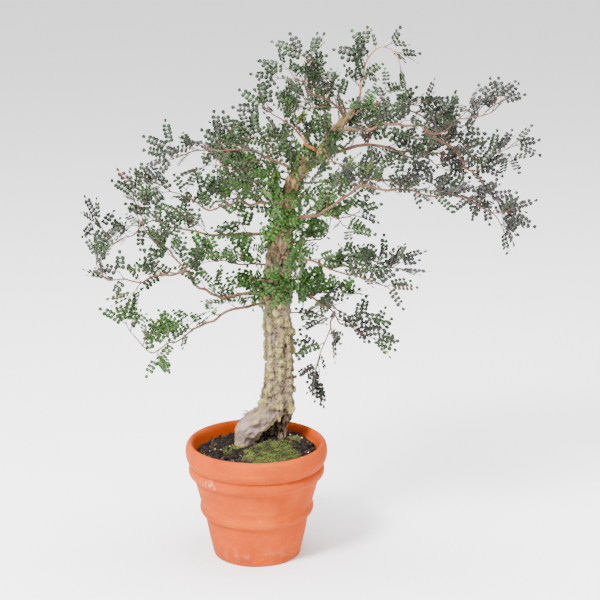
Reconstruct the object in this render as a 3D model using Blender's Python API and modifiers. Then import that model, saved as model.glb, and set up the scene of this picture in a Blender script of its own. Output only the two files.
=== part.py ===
"""A bonsai elephant tree in a terracotta pot: pot, soil, moss, trunk, bare limbs and leafy shoots.

Metres, +Z up. The origin is the middle of the pot's underside and -Y is the front of the tree.
Nothing moves: the tree stands in its pot.
"""

import math

import bmesh
import bpy
import numpy as np
from mathutils import Matrix, Vector

MM = 0.001
CM = 0.01
GAP = 0.4 * MM  # left between two pieces that touch
WELD = 0.02 * MM

# Pot, in mm
POT_HEIGHT = 150
FOOT_RADIUS = 55
RING_LOW_Z = 63
RING_LOW_RADIUS = 71.6
WAIST_Z = 92
WAIST_RADIUS = 75.7
COLLAR_Z = 111
COLLAR_RADIUS = 86
CREASE_Z = 120
CREASE_RADIUS = 84.6
RIM_RADIUS = 90
RIM_ROLL_Z = 137
RIM_ROLL_HALF_WIDTH = 5
MOUTH_RADIUS = 78
MOUTH_Z = 129
WALL = 8
FLOOR = 10
FLOOR_RADIUS = 44
FLOOR_FILLET = 4
TURNED_STEPS = 32
DRAIN_HOLES = 3
DRAIN_RADIUS = 5
DRAIN_CIRCLE = 24

# Soil, in mm
SOIL_EDGE_Z = 131
SOIL_EDGE_GAP = 1.2
SOIL_SHOULDER = 9
SOIL_RISE = 2
SOIL_RINGS = (0.68, 0.48, 0.26)
MOUND_CENTRE = (22, 30)
MOUND_HEIGHT = 15
MOUND_SPREAD = 42

# Moss pads: centre and radii in mm
MOSS = {
    "moss_front": ((30, -30), (34, 27, 7)),
    "moss_left": ((-46, -2), (15, 13, 5)),
    "moss_right": ((52, 22), (13, 15, 5)),
}

# Trunk and roots: (x, y, z, radius) in cm, from below the soil upwards
TRUNK = (
    (2.4, 3.8, 12.0, 1.9),
    (2.4, 3.5, 16.0, 2.0),
    (2.3, 3.2, 18.5, 2.0),
    (2.8, 2.8, 21.5, 1.75),
    (2.9, 2.4, 25.0, 1.7),
    (2.9, 2.0, 28.0, 1.65),
    (2.7, 1.6, 31.0, 1.6),
    (2.5, 1.3, 33.5, 1.5),
    (2.5, 1.0, 36.5, 1.4),
    (2.7, 0.8, 38.5, 1.3),
    (2.9, 0.5, 40.5, 1.25),
    (3.3, 0.3, 42.5, 1.15),
    (3.6, 0.2, 44.5, 1.05),
    (4.2, 0.0, 46.5, 1.0),
    (4.8, 0.0, 48.5, 0.95),
    (5.8, 0.0, 50.0, 0.9),
    (7.8, 0.0, 51.8, 0.75),
    (9.0, 0.3, 53.2, 0.65),
    (10.0, 0.5, 54.8, 0.55),
    (11.2, 0.8, 56.2, 0.45),
    (12.2, 1.0, 57.2, 0.35),
)
ROOT_LOBE = (
    (1.8, 3.0, 18.6, 1.3),
    (0.3, 2.2, 17.1, 1.45),
    (-0.8, 1.2, 16.0, 1.6),
    (-1.4, 0.5, 14.5, 1.6),
    (-1.4, 0.3, 12.0, 1.3),
)
ROOT_LEG = (
    (3.1, 3.4, 18.5, 1.2),
    (3.6, 3.8, 16.4, 0.95),
    (3.7, 4.0, 14.5, 0.85),
    (3.7, 4.1, 12.0, 0.8),
)

# Branches: name: (what it grows from, radius at its start in mm, how many points are bare wood, points in cm)
BRANCHES = {
    "left_low": ("trunk", 3.4, 7, (
        (2.6, 1.5, 32.2), (0.8, 0.2, 33.0), (-1.0, -1.5, 33.0), (-3.0, -3.0, 33.0), (-5.0, -4.0, 32.0),
        (-7.5, -5.0, 31.0), (-9.0, -5.5, 30.0), (-10.5, -6.0, 29.5), (-12.5, -6.5, 28.5),
        (-13.5, -6.5, 29.5), (-14.5, -6.5, 30.5), (-15.5, -6.0, 32.0))),
    "left_main": ("trunk", 4.0, 8, (
        (2.5, 1.2, 34.0), (0.5, 0.5, 34.3), (-2.0, -0.5, 34.3), (-4.0, -2.0, 34.2), (-6.0, -3.0, 35.5),
        (-7.5, -3.5, 36.5), (-8.5, -4.0, 38.5), (-9.5, -4.0, 39.5), (-10.5, -4.0, 41.0),
        (-12.0, -3.5, 41.5), (-13.0, -3.0, 42.5), (-13.5, -2.5, 43.5), (-14.0, -2.0, 45.5),
        (-14.5, -1.5, 47.0))),
    "left_main_side": ("left_main", 1.8, 0, (
        (-8.3, -3.9, 38.2), (-10.0, -5.0, 38.0), (-12.0, -6.0, 38.0), (-13.5, -7.0, 37.5),
        (-15.5, -7.5, 38.0), (-17.5, -7.5, 38.0), (-18.5, -7.0, 39.0), (-18.8, -6.5, 40.5))),
    "left_mid": ("trunk", 2.2, 0, (
        (2.6, 0.9, 37.5), (0.5, 0.5, 38.0), (-2.0, 0.0, 38.0), (-4.0, 0.5, 38.3), (-6.5, 1.0, 38.0))),
    "left_high": ("trunk", 3.4, 8, (
        (3.0, 0.5, 41.3), (1.5, 1.0, 41.5), (0.0, 2.0, 41.5), (-3.0, 3.5, 41.0), (-6.5, 5.5, 40.5),
        (-8.0, 6.0, 41.0), (-9.5, 6.5, 41.0), (-11.5, 7.0, 41.5), (-13.0, 7.0, 42.0),
        (-14.5, 6.5, 41.5), (-15.5, 6.0, 40.5), (-17.0, 5.5, 40.0), (-18.0, 5.0, 39.5),
        (-19.0, 4.5, 41.0), (-19.8, 4.0, 42.5))),
    "left_upper": ("trunk", 3.0, 6, (
        (3.6, 0.2, 44.6), (2.5, 0.2, 45.3), (1.0, 0.0, 45.8), (-0.5, -0.5, 45.7), (-2.0, -1.0, 46.0),
        (-4.0, -2.0, 45.8), (-5.5, -3.0, 45.5), (-7.0, -3.0, 46.5), (-9.0, -3.5, 47.5),
        (-10.0, -4.0, 48.0), (-11.5, -4.0, 49.0))),
    "left_upper_side": ("left_upper", 1.8, 0, (
        (1.0, 0.0, 45.8), (0.0, 2.0, 46.4), (-1.5, 4.0, 46.3), (-2.5, 5.5, 46.0), (-3.0, 6.5, 47.0),
        (-3.5, 7.0, 48.5))),
    "left_top": ("trunk", 2.4, 0, (
        (4.7, 0.0, 48.2), (3.5, 1.0, 48.5), (2.3, 2.0, 48.8), (0.5, 3.5, 48.8), (-1.0, 4.5, 49.0),
        (-2.5, 5.5, 49.0), (-4.0, 6.5, 49.0), (-6.0, 7.5, 49.0), (-7.2, 8.0, 48.5))),
    "crown_left": ("trunk", 3.0, 6, (
        (5.5, 0.0, 49.7), (4.0, -1.0, 50.5), (2.0, -2.0, 51.5), (0.7, -3.0, 52.5), (-0.6, -4.0, 53.0),
        (-2.0, -4.5, 53.2), (-4.0, -5.5, 53.2), (-5.5, -6.0, 53.4), (-7.0, -6.5, 53.4),
        (-8.0, -7.0, 53.0), (-9.5, -7.0, 52.8))),
    "crown_left_back": ("trunk", 2.2, 0, (
        (6.6, 0.0, 50.7), (5.3, 1.5, 51.3), (3.7, 2.5, 51.7), (2.3, 3.5, 52.0), (1.0, 4.5, 52.6),
        (-0.5, 5.0, 52.8), (-2.0, 5.5, 53.0))),
    "crown_stub": ("trunk", 3.8, 4, (
        (7.8, 0.0, 51.8), (7.0, -1.0, 52.6), (6.3, -2.0, 53.4), (5.6, -3.0, 54.5), (4.6, -3.5, 55.7),
        (3.2, -4.0, 56.7), (2.2, -4.0, 57.4), (1.4, -4.0, 58.0))),
    "top_left": ("trunk", 2.8, 0, (
        (11.0, 0.7, 56.0), (10.5, 0.2, 57.0), (9.5, -0.5, 58.0), (8.0, -1.5, 59.0), (6.3, -2.5, 59.8),
        (6.0, -3.0, 61.0), (6.2, -3.0, 62.5), (6.8, -3.0, 64.0))),
    "top_left_side": ("top_left", 1.0, 0, (
        (6.0, -3.0, 61.0), (5.0, -3.2, 61.3), (4.0, -3.0, 61.4), (3.0, -3.0, 61.5))),
    "top_middle": ("trunk", 2.0, 0, (
        (11.2, 0.8, 56.2), (10.9, 1.8, 57.2), (10.4, 2.5, 58.3), (9.8, 3.0, 59.6), (9.2, 3.5, 60.3),
        (8.2, 4.0, 61.3))),
    "top_right": ("trunk", 2.4, 0, (
        (12.1, 1.0, 57.1), (12.6, 0.6, 58.4), (12.9, 0.0, 60.0), (13.1, 0.0, 61.5), (13.8, 0.0, 63.5),
        (14.6, -0.5, 64.5), (15.6, -1.0, 65.0), (16.7, -1.5, 64.5), (17.4, -2.0, 63.5),
        (17.5, -2.0, 62.5))),
    "top_far_right": ("trunk", 2.8, 0, (
        (11.6, 0.9, 56.6), (13.5, 1.3, 57.2), (15.2, 2.0, 57.6), (17.0, 3.0, 57.3), (18.6, 4.0, 57.1),
        (20.3, 5.0, 57.0), (22.0, 6.0, 56.3))),
    "top_far_right_side": ("top_far_right", 1.0, 0, (
        (18.6, 4.0, 57.1), (19.9, 4.5, 56.0), (21.0, 5.0, 55.3), (22.0, 5.5, 54.0))),
    "right_top": ("trunk", 3.4, 8, (
        (10.0, 0.5, 54.8), (11.5, -0.2, 54.8), (13.0, -1.5, 55.0), (14.3, -2.5, 55.3),
        (15.4, -3.0, 56.0), (18.0, -4.0, 56.0), (20.0, -4.5, 56.0), (21.4, -5.0, 55.0),
        (23.0, -5.5, 56.0), (24.2, -6.0, 57.0), (25.8, -6.5, 57.3), (28.0, -7.0, 58.0),
        (29.0, -7.0, 59.3))),
    "right_top_side": ("right_top", 2.0, 0, (
        (20.2, -4.6, 55.8), (21.2, -3.8, 54.6), (22.5, -3.5, 54.0), (23.7, -3.5, 53.3),
        (24.8, -3.5, 52.0), (25.4, -3.0, 50.7), (27.0, -3.0, 49.7), (28.0, -3.0, 48.3),
        (29.0, -3.0, 47.0), (30.0, -3.0, 45.3))),
    "right_high": ("trunk", 3.8, 7, (
        (7.4, 0.0, 51.4), (9.6, 0.8, 51.8), (11.5, 1.0, 52.4), (13.2, 1.2, 52.7), (15.0, 1.5, 52.7),
        (17.7, 2.0, 51.8), (20.0, 3.0, 51.5), (22.3, 3.5, 51.2), (25.3, 4.0, 51.2), (28.2, 4.5, 50.6),
        (30.3, 5.0, 51.0), (32.3, 5.0, 52.0))),
    "right_high_side": ("right_high", 1.6, 0, (
        (17.7, 2.0, 51.8), (18.4, 1.0, 51.4), (19.6, 0.0, 51.4), (21.0, -0.5, 51.4), (22.0, -0.5, 50.5),
        (23.2, -0.5, 50.0))),
    "right_main": ("trunk", 4.0, 9, (
        (3.2, 0.3, 42.0), (4.7, -1.0, 43.4), (5.5, -2.0, 44.3), (7.3, -3.0, 44.8), (8.5, -3.5, 45.6),
        (10.3, -4.0, 46.8), (11.8, -4.5, 48.0), (12.8, -4.5, 48.8), (14.6, -5.0, 48.6),
        (16.0, -5.5, 48.5), (18.0, -6.0, 48.7), (20.0, -6.5, 48.2), (21.6, -7.0, 48.0),
        (23.2, -7.0, 48.3), (25.2, -7.0, 47.7), (27.2, -7.0, 46.7), (29.0, -6.5, 45.3),
        (29.8, -6.0, 43.8))),
    "right_main_upper": ("right_main", 1.8, 0, (
        (12.6, -4.5, 48.7), (14.2, -3.5, 49.4), (16.0, -3.0, 49.3), (17.5, -2.5, 48.7),
        (19.5, -2.0, 48.0), (21.6, -1.5, 47.6))),
    "right_main_lower": ("right_main", 1.6, 0, (
        (8.3, -3.4, 45.4), (9.9, -4.0, 44.8), (11.4, -5.0, 45.2), (12.5, -5.5, 45.8))),
    "right_back": ("trunk", 2.4, 0, (
        (4.4, 0.0, 47.3), (6.0, 1.8, 47.8), (7.3, 3.0, 47.8), (9.6, 5.0, 47.2), (11.8, 7.0, 47.0),
        (13.8, 9.0, 47.0))),
    "right_inner": ("trunk", 2.2, 0, (
        (3.0, 0.5, 40.7), (5.3, 2.0, 40.3), (6.3, 3.0, 40.2), (7.3, 4.0, 40.3), (8.2, 5.0, 40.0),
        (9.2, 5.5, 41.0), (9.4, 5.5, 42.4))),
    "right_low": ("trunk", 3.0, 7, (
        (2.7, 0.8, 38.9), (4.0, -1.0, 39.0), (5.5, -2.0, 39.1), (7.1, -3.0, 39.1), (8.3, -3.5, 38.7),
        (9.1, -4.0, 38.4), (10.7, -4.5, 38.1), (12.3, -5.0, 37.8), (13.7, -5.5, 37.5),
        (14.7, -6.0, 37.2), (16.0, -6.0, 36.8))),
    "right_low_side": ("right_low", 1.5, 0, (
        (9.1, -4.0, 38.4), (10.0, -3.2, 38.5), (11.2, -2.8, 38.4), (12.8, -2.5, 38.0),
        (14.4, -2.0, 38.0), (16.0, -1.5, 38.0), (17.6, -1.0, 37.7))),
    "right_base": ("trunk", 2.6, 0, (
        (2.6, 1.3, 34.6), (5.0, 0.9, 34.5), (6.3, 1.0, 34.3), (8.0, 2.0, 34.0), (9.6, 3.0, 33.6),
        (11.0, 4.0, 33.3))),
    "right_hanging": ("right_base", 2.0, 4, (
        (6.1, 1.0, 34.3), (7.5, 0.0, 33.4), (8.8, -0.3, 32.7), (9.8, -0.5, 31.9), (10.6, -0.5, 30.6),
        (11.7, -1.0, 30.2), (13.0, -1.0, 29.5), (14.6, -1.0, 28.8))),
    "right_dangling": ("right_hanging", 1.3, 0, (
        (9.7, -0.5, 32.0), (9.5, 0.3, 30.6), (9.2, 0.5, 29.0), (8.6, 0.5, 27.8), (8.0, 0.5, 26.5),
        (7.9, 0.5, 25.0), (7.9, 0.5, 23.2))),
    "right_stub": ("trunk", 1.8, 0, (
        (2.7, 1.6, 31.5), (4.4, 1.6, 31.4), (6.2, 2.0, 31.3), (7.6, 3.0, 31.0))),
    "front_low": ("trunk", 2.2, 0, (
        (2.5, 1.0, 36.4), (3.2, -2.5, 37.4), (3.7, -5.0, 37.8), (4.5, -9.0, 38.6), (5.2, -12.0, 39.6))),
    "front_mid": ("trunk", 2.2, 0, (
        (4.0, 0.0, 46.0), (3.6, -4.0, 46.8), (3.2, -8.0, 47.4), (2.5, -11.5, 48.2))),
    "front_high": ("trunk", 2.2, 0, (
        (8.4, 0.1, 52.6), (8.9, -4.0, 52.2), (9.6, -8.0, 52.2), (10.5, -12.0, 52.6))),
    "back_low": ("trunk", 2.6, 0, (
        (2.6, 0.9, 37.8), (3.8, 5.0, 39.4), (4.8, 9.0, 40.3), (5.7, 13.0, 40.8), (5.4, 16.0, 41.8))),
    "back_left": ("trunk", 3.0, 3, (
        (3.5, 0.3, 43.6), (2.0, 4.0, 44.9), (0.7, 7.5, 45.7), (-0.8, 11.0, 46.7), (-2.8, 14.0, 47.3),
        (-4.6, 16.5, 48.8))),
    "back_right": ("trunk", 3.0, 3, (
        (5.6, 0.0, 49.8), (7.0, 4.5, 50.6), (8.6, 8.0, 51.4), (10.6, 11.5, 52.2), (12.6, 14.5, 52.4),
        (15.0, 17.0, 53.6))),
    "back_top": ("trunk", 2.2, 0, (
        (9.6, 0.4, 54.1), (8.2, 4.0, 55.2), (7.0, 7.5, 56.3), (5.5, 11.0, 57.6))),
}
TIP_RADIUS = 0.9  # mm, at a shoot's end
TRUNK_STEP = 30  # mm between the points of a smoothed route, here and below
ROOT_STEP = 9
ROUTE_STEP = 16
SHOOT_STEP = 17
ROUND_SIDES = 4  # bevel levels: 12 sides on the trunk, 6 on a limb and 4 on a shoot
LIMB_SIDES = 1
SHOOT_SIDES = 0

# Leaves, in mm: each is one flat plate that stands for a compound leaf
LEAF_LENGTH = 33
LEAF_WIDTH = 17
LEAF_THICKNESS = 1.6
LEAF_SPACING = 21
FIRST_LEAF = 9
LEAF_TILT = 50  # degrees between a leaf and its twig
LEAF_TURN = 137.5  # degrees round the twig from each leaf to the next
LEAF_TRIES = 9
NEXT_TRY_TURN = 40
NEXT_TRY_TILT = 8
LEAF_CLEARANCE = 3.6  # radius of the balls that stand for a plate when it is kept clear of others
BALL_STEP = 3
BALL_MARGIN = 0.6

COLOURS = {
    "terracotta": ((0.72, 0.27, 0.11), 0.9),
    "soil": ((0.035, 0.022, 0.014), 1.0),
    "moss": ((0.13, 0.19, 0.03), 1.0),
    "bark": ((0.36, 0.29, 0.22), 0.85),
    "twig": ((0.30, 0.15, 0.08), 0.7),
    "leaf": ((0.06, 0.16, 0.03), 0.45),
}


def clear_scene():
    for old in list(bpy.data.objects):
        bpy.data.objects.remove(old)


def new_collection(name):
    collection = bpy.data.collections.new(name)
    bpy.context.scene.collection.children.link(collection)
    return collection


def new_material(name):
    colour, roughness = COLOURS[name]
    material = bpy.data.materials.new(name)
    material.use_nodes = True
    shader = material.node_tree.nodes["Principled BSDF"]
    shader.inputs["Base Color"].default_value = (*colour, 1)
    shader.inputs["Roughness"].default_value = roughness
    shader.inputs["Metallic"].default_value = 0
    return material


def new_object(name, data, collection, material=None):
    thing = bpy.data.objects.new(name, data)
    collection.objects.link(thing)
    if material:
        data.materials.append(material)
    return thing


def mesh_from_bmesh(name, bm):
    mesh = bpy.data.meshes.new(name)
    bm.to_mesh(mesh)
    bm.free()
    return mesh


def hide(helper):
    helper.hide_render = True
    helper.display_type = "WIRE"
    return helper


def boolean(target, operation, other):
    modifier = target.modifiers.new(f"{operation}_{other.name}", "BOOLEAN")
    modifier.operation = operation
    modifier.solver = "EXACT"
    modifier.object = other


def smooth_shading(mesh, angle):
    mesh.shade_smooth()
    mesh.set_sharp_from_angle(angle=math.radians(angle))


# --- turned pieces ---


def arc(centre, radii, start, end, steps):
    """Points on an ellipse in the (r, z) plane, by angle in degrees."""
    angles = [math.radians(start + (end - start) * i / steps) for i in range(steps + 1)]
    return [(centre[0] + radii[0] * math.cos(a), centre[1] + radii[1] * math.sin(a)) for a in angles]


def inner_wall_radius(z):
    """The radius in mm of the pot's inner wall between its floor and its waist."""
    low = FOOT_RADIUS - WALL
    return low + (WAIST_RADIUS - WALL - low) * z / WAIST_Z


def pot_profile():
    """From the middle of the inner floor, up the inner wall, over the rim and down the outer side."""
    inside = [(0, FLOOR), (FLOOR_RADIUS, FLOOR), (inner_wall_radius(FLOOR), FLOOR + FLOOR_FILLET)]
    inside += [(WAIST_RADIUS - WALL, WAIST_Z), (MOUTH_RADIUS, MOUTH_Z)]
    rim_centre = (RIM_RADIUS - RIM_ROLL_HALF_WIDTH, RIM_ROLL_Z)
    rim = arc(rim_centre, (RIM_ROLL_HALF_WIDTH, POT_HEIGHT - RIM_ROLL_Z), 170, -60, 8)
    collar = arc((COLLAR_RADIUS - 4, COLLAR_Z), (4, 7), 50, -60, 3)
    lower_ring = arc((RING_LOW_RADIUS - 3, RING_LOW_Z), (3, 6), 60, -50, 3)
    outside = [(CREASE_RADIUS, CREASE_Z)] + collar + [(WAIST_RADIUS, WAIST_Z)] + lower_ring
    outside += [(66.8, 53), (FOOT_RADIUS + 1, 2), (FOOT_RADIUS - 1, 0), (0, 0)]
    return inside + rim + outside


def turned(name, profile_mm, collection, material):
    """A closed solid from a profile that starts and ends on the axis."""
    bm = bmesh.new()
    points = [bm.verts.new((r * MM, 0, z * MM)) for r, z in profile_mm]
    for a, b in zip(points, points[1:]):
        bm.edges.new((a, b))
    thing = new_object(name, mesh_from_bmesh(name, bm), collection, material)
    screw = thing.modifiers.new("turn", "SCREW")
    screw.steps = TURNED_STEPS
    screw.render_steps = TURNED_STEPS
    screw.use_merge_vertices = True
    screw.merge_threshold = 0.01 * MM
    screw.use_smooth_shade = True
    return thing


def add_pot(parts, cutters, material):
    pot = turned("pot", pot_profile(), parts, material)
    bm = bmesh.new()
    for i in range(DRAIN_HOLES):
        angle = math.tau * i / DRAIN_HOLES
        place = (DRAIN_CIRCLE * MM * math.sin(angle), DRAIN_CIRCLE * MM * math.cos(angle), FLOOR / 2 * MM)
        bmesh.ops.create_cone(
            bm, cap_ends=True, segments=12, depth=2 * FLOOR * MM, matrix=Matrix.Translation(place),
            radius1=DRAIN_RADIUS * MM, radius2=DRAIN_RADIUS * MM,
        )
    drills = hide(new_object("drain_drills", mesh_from_bmesh("drain_drills", bm), cutters))
    boolean(pot, "DIFFERENCE", drills)
    return pot


def mound(x, y):
    """How far the soil rises above its edge at a place, all in mm."""
    near = math.hypot(x - MOUND_CENTRE[0], y - MOUND_CENTRE[1]) / MOUND_SPREAD
    return MOUND_HEIGHT * math.exp(-near * near)


def soil_mesh(name, raised):
    """The soil's solid, with its top lifted by raised mm."""
    gap = GAP / MM
    edge = MOUTH_RADIUS - SOIL_EDGE_GAP
    fillet_z = FLOOR + FLOOR_FILLET
    bm = bmesh.new()
    rings = [(edge, SOIL_EDGE_Z), (edge - SOIL_SHOULDER, SOIL_EDGE_Z + SOIL_RISE)]
    rings += [(edge * share, SOIL_EDGE_Z + SOIL_RISE) for share in SOIL_RINGS]
    below = [(WAIST_RADIUS - WALL - gap, WAIST_Z), (inner_wall_radius(FLOOR) - gap, fillet_z + gap)]
    below.append((FLOOR_RADIUS - gap, FLOOR + gap))
    loops = []
    for k, (r, z) in enumerate(rings[::-1] + below):
        top = k < len(rings)
        loop = []
        for i in range(TURNED_STEPS):
            angle = math.tau * i / TURNED_STEPS
            x, y = r * math.cos(angle), r * math.sin(angle)
            height = z + (mound(x, y) + raised if top else 0)
            loop.append(bm.verts.new((x * MM, y * MM, height * MM)))
        loops.append(loop)
    for upper, lower in zip(loops, loops[1:]):
        for i in range(TURNED_STEPS):
            j = (i + 1) % TURNED_STEPS
            bm.faces.new((upper[j], upper[i], lower[i], lower[j]))
    top_height = SOIL_EDGE_Z + SOIL_RISE + mound(0, 0) + raised
    middle = bm.verts.new((0, 0, top_height * MM))
    bottom = bm.verts.new((0, 0, (FLOOR + gap) * MM))
    for i in range(TURNED_STEPS):
        j = (i + 1) % TURNED_STEPS
        bm.faces.new((middle, loops[0][i], loops[0][j]))
        bm.faces.new((bottom, loops[-1][j], loops[-1][i]))
    bmesh.ops.recalc_face_normals(bm, faces=bm.faces)
    return mesh_from_bmesh(name, bm)


def add_moss(name, centre, radii, parts, material, cutters):
    """A low pad of moss that lies on the soil and stops short of the roots. Sizes in mm."""
    bm = bmesh.new()
    height = SOIL_EDGE_Z + SOIL_RISE + mound(*centre)
    place = Matrix.Translation(Vector((centre[0], centre[1], height)) * MM)
    size = Matrix.Diagonal((radii[0] * MM, radii[1] * MM, radii[2] * MM, 1))
    bmesh.ops.create_uvsphere(bm, u_segments=14, v_segments=8, radius=1, matrix=place @ size)
    moss = new_object(name, mesh_from_bmesh(name, bm), parts, material)
    for cutter in cutters:
        boolean(moss, "DIFFERENCE", cutter)
    return moss


# --- tubes along smooth routes ---


def smooth_route(points, step):
    """A Catmull-Rom curve through the points, sampled about every step. It also gives each sample's place
    along the list of points, so that other values can be read between them."""
    ends = [2 * points[0] - points[1]] + list(points) + [2 * points[-1] - points[-2]]
    samples, places = [], []
    for i in range(1, len(ends) - 2):
        a, b, c, d = ends[i - 1 : i + 3]
        pieces = max(1, round((c - b).length / step))
        for k in range(pieces):
            t = k / pieces
            spot = 2 * b + (c - a) * t + (2 * a - 5 * b + 4 * c - d) * t**2
            spot += (3 * b - a - 3 * c + d) * t**3
            samples.append(spot / 2)
            places.append(i - 1 + t)
    samples.append(points[-1].copy())
    places.append(len(points) - 1)
    return samples, places


def tube(name, points, radii, sides_level, collection, material=None):
    """A closed mesh tube, points and radii in metres."""
    curve = bpy.data.curves.new(name, "CURVE")
    curve.dimensions = "3D"
    curve.bevel_depth = 1
    curve.bevel_resolution = sides_level
    curve.use_fill_caps = True
    spline = curve.splines.new("POLY")
    spline.points.add(len(points) - 1)
    for target, point, radius in zip(spline.points, points, radii):
        target.co = (*point, 1)
        target.radius = radius
    helper = bpy.data.objects.new(name, curve)
    collection.objects.link(helper)
    graph = bpy.context.evaluated_depsgraph_get()
    mesh = bpy.data.meshes.new_from_object(helper.evaluated_get(graph))
    place = helper.matrix_world.copy()
    bpy.data.objects.remove(helper)
    bpy.data.curves.remove(curve)
    bm = bmesh.new()
    bm.from_mesh(mesh)
    bmesh.ops.remove_doubles(bm, verts=bm.verts, dist=WELD)
    bmesh.ops.recalc_face_normals(bm, faces=bm.faces)
    bm.to_mesh(mesh)
    bm.free()
    thing = new_object(name, mesh, collection, material)
    thing.matrix_world = place
    smooth_shading(mesh, 50)
    return thing


def tapered_tube(name, table_cm, step_mm, extra, sides_level, collection, material=None):
    """A tube through (x, y, z, radius) rows in cm, grown by extra metres all round."""
    points = [Vector(row[:3]) * CM for row in table_cm]
    samples, places = smooth_route(points, step_mm * MM)
    radii = np.interp(places, range(len(table_cm)), [row[3] * CM + extra for row in table_cm])
    return tube(name, samples, radii, sides_level, collection, material)


def add_trunk(name, extra, collection, helpers, material=None):
    """The trunk with its root lobe and leg, as one solid."""
    trunk = tapered_tube(name, TRUNK, TRUNK_STEP, extra, ROUND_SIDES, collection, material)
    for part, table in (("lobe", ROOT_LOBE), ("leg", ROOT_LEG)):
        root = hide(tapered_tube(f"{name}_{part}", table, ROOT_STEP, extra, ROUND_SIDES, helpers))
        boolean(trunk, "UNION", root)
    return trunk


# --- branches with leaves ---


class Clearances:
    """Balls along everything that is placed, so that a new leaf can be kept clear of it. All in mm."""

    def __init__(self):
        self.centres = np.zeros((0, 3))
        self.radii = np.zeros(0)
        self.owners = []

    def add(self, centres, radii, owner):
        self.centres = np.vstack([self.centres, centres])
        self.radii = np.concatenate([self.radii, radii])
        self.owners += [owner] * len(radii)

    def is_free(self, centres, radius, but=()):
        others = np.array([owner not in but for owner in self.owners])
        for centre in centres:
            far = np.linalg.norm(self.centres[others] - centre, axis=1)
            if (far < self.radii[others] + radius).any():
                return False
        return True


def balls_along(points, radii):
    """Balls all along a tube: centres and radii in mm."""
    centres, sizes = [], []
    for i in range(len(points) - 1):
        pieces = max(1, round((points[i + 1] - points[i]).length / (BALL_STEP * MM)))
        for k in range(pieces):
            t = k / pieces
            centres.append(np.array(points[i].lerp(points[i + 1], t)) / MM)
            sizes.append((radii[i] + (radii[i + 1] - radii[i]) * t) / MM)
    return np.array(centres), np.array(sizes) + BALL_MARGIN


def leaf_frame(start, along, outward):
    """A matrix that puts a plate's base at start, its length along and its flat side up or outward."""
    across = along.cross(outward).normalized()
    normal = across.cross(along).normalized()
    frame = Matrix((along, across, normal)).transposed().to_4x4()
    return Matrix.Translation(start) @ frame


def plate_balls(frame):
    """The places of the balls that stand for a plate, in mm."""
    spots = []
    for u in (0.1, 0.28, 0.46, 0.64, 0.82, 0.97):
        wide = 0.3 if 0.2 < u < 0.9 else 0
        for v in {-wide, 0, wide}:
            spot = frame @ Vector((u * LEAF_LENGTH * MM, v * LEAF_WIDTH * MM, 0))
            spots.append(np.array(spot) / MM)
    return spots


def any_normal(direction):
    """A level sideways direction, or +X where the direction is upright."""
    side = direction.cross(Vector((0, 0, 1)))
    return side.normalized() if side.length > 0.1 else Vector((1, 0, 0))


def place_leaves(name, points, clearances):
    """Frames of the leaves along a shoot, each turned until it is clear of everything else."""
    lengths = [0.0]
    for a, b in zip(points, points[1:]):
        lengths.append(lengths[-1] + (b - a).length / MM)
    count = max(1, int((lengths[-1] - FIRST_LEAF - 3) / LEAF_SPACING) + 1)
    places = [FIRST_LEAF + LEAF_SPACING * i for i in range(count)]
    frames = []
    for number, place in enumerate(places + [lengths[-1] - 1.0]):
        last = number == count
        i = max(k for k in range(len(points) - 1) if lengths[k] <= place)
        share = (place - lengths[i]) / (lengths[i + 1] - lengths[i])
        start = points[i].lerp(points[i + 1], share)
        direction = (points[i + 1] - points[i]).normalized()
        side = any_normal(direction)
        for attempt in range(LEAF_TRIES):
            turn = math.radians(LEAF_TURN * number + NEXT_TRY_TURN * attempt)
            outward = Matrix.Rotation(turn, 3, direction) @ side
            tilt = math.radians(NEXT_TRY_TILT * attempt if last else LEAF_TILT)
            along = direction * math.cos(tilt) + outward * math.sin(tilt)
            frame = leaf_frame(start, along, outward if last else direction)
            spots = plate_balls(frame)
            if clearances.is_free(spots, LEAF_CLEARANCE, but=(name,)):
                frames.append(frame)
                clearances.add(spots, np.full(len(spots), LEAF_CLEARANCE), f"{name} leaf {number}")
                break
    return frames


def leaf_plates(name, frames, helpers):
    """Six-sided plates, one for each leaf, with their pointed ends along their length."""
    bm = bmesh.new()
    middle = Matrix.Translation((LEAF_LENGTH / 2 * MM, 0, 0))
    size = Matrix.Diagonal((LEAF_LENGTH / 2 * MM, LEAF_WIDTH / 2 * MM, LEAF_THICKNESS * MM, 1))
    corner_first = Matrix.Rotation(math.pi / 2, 4, "Z")
    for frame in frames:
        place = frame @ middle @ size @ corner_first
        bmesh.ops.create_cone(bm, cap_ends=True, segments=6, radius1=1, radius2=1, depth=1, matrix=place)
    return hide(new_object(name, mesh_from_bmesh(name, bm), helpers))


class Branch:
    """One branch's smoothed route, split into its bare limb and its leafy shoot. Points in metres."""

    def __init__(self, name):
        self.name = name
        self.parent, start_radius, bare, table = BRANCHES[name]
        points = [Vector(row) * CM for row in table]
        samples, places = smooth_route(points, ROUTE_STEP * MM if bare else SHOOT_STEP * MM)
        radii = list(np.interp(places, (0, len(points) - 1), (start_radius * MM, TIP_RADIUS * MM)))
        cut = places.index(bare - 1) if bare else 0
        self.limb = (samples[: cut + 1], radii[: cut + 1]) if bare else None
        self.shoot = (samples[cut:], radii[cut:])
        if bare:
            self.shoot = self.start_in_line(samples, radii, cut)

    @staticmethod
    def start_in_line(samples, radii, cut):
        """The shoot starts a gap beyond the limb's end cap and leaves it in line."""
        heading = (samples[cut] - samples[cut - 1]).normalized()
        first = samples[cut] + heading * GAP
        second = samples[cut] + heading * 3 * MM
        points = [first, second] + samples[cut + 1 :]
        return points, [radii[cut], radii[cut]] + radii[cut + 1 :]


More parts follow.
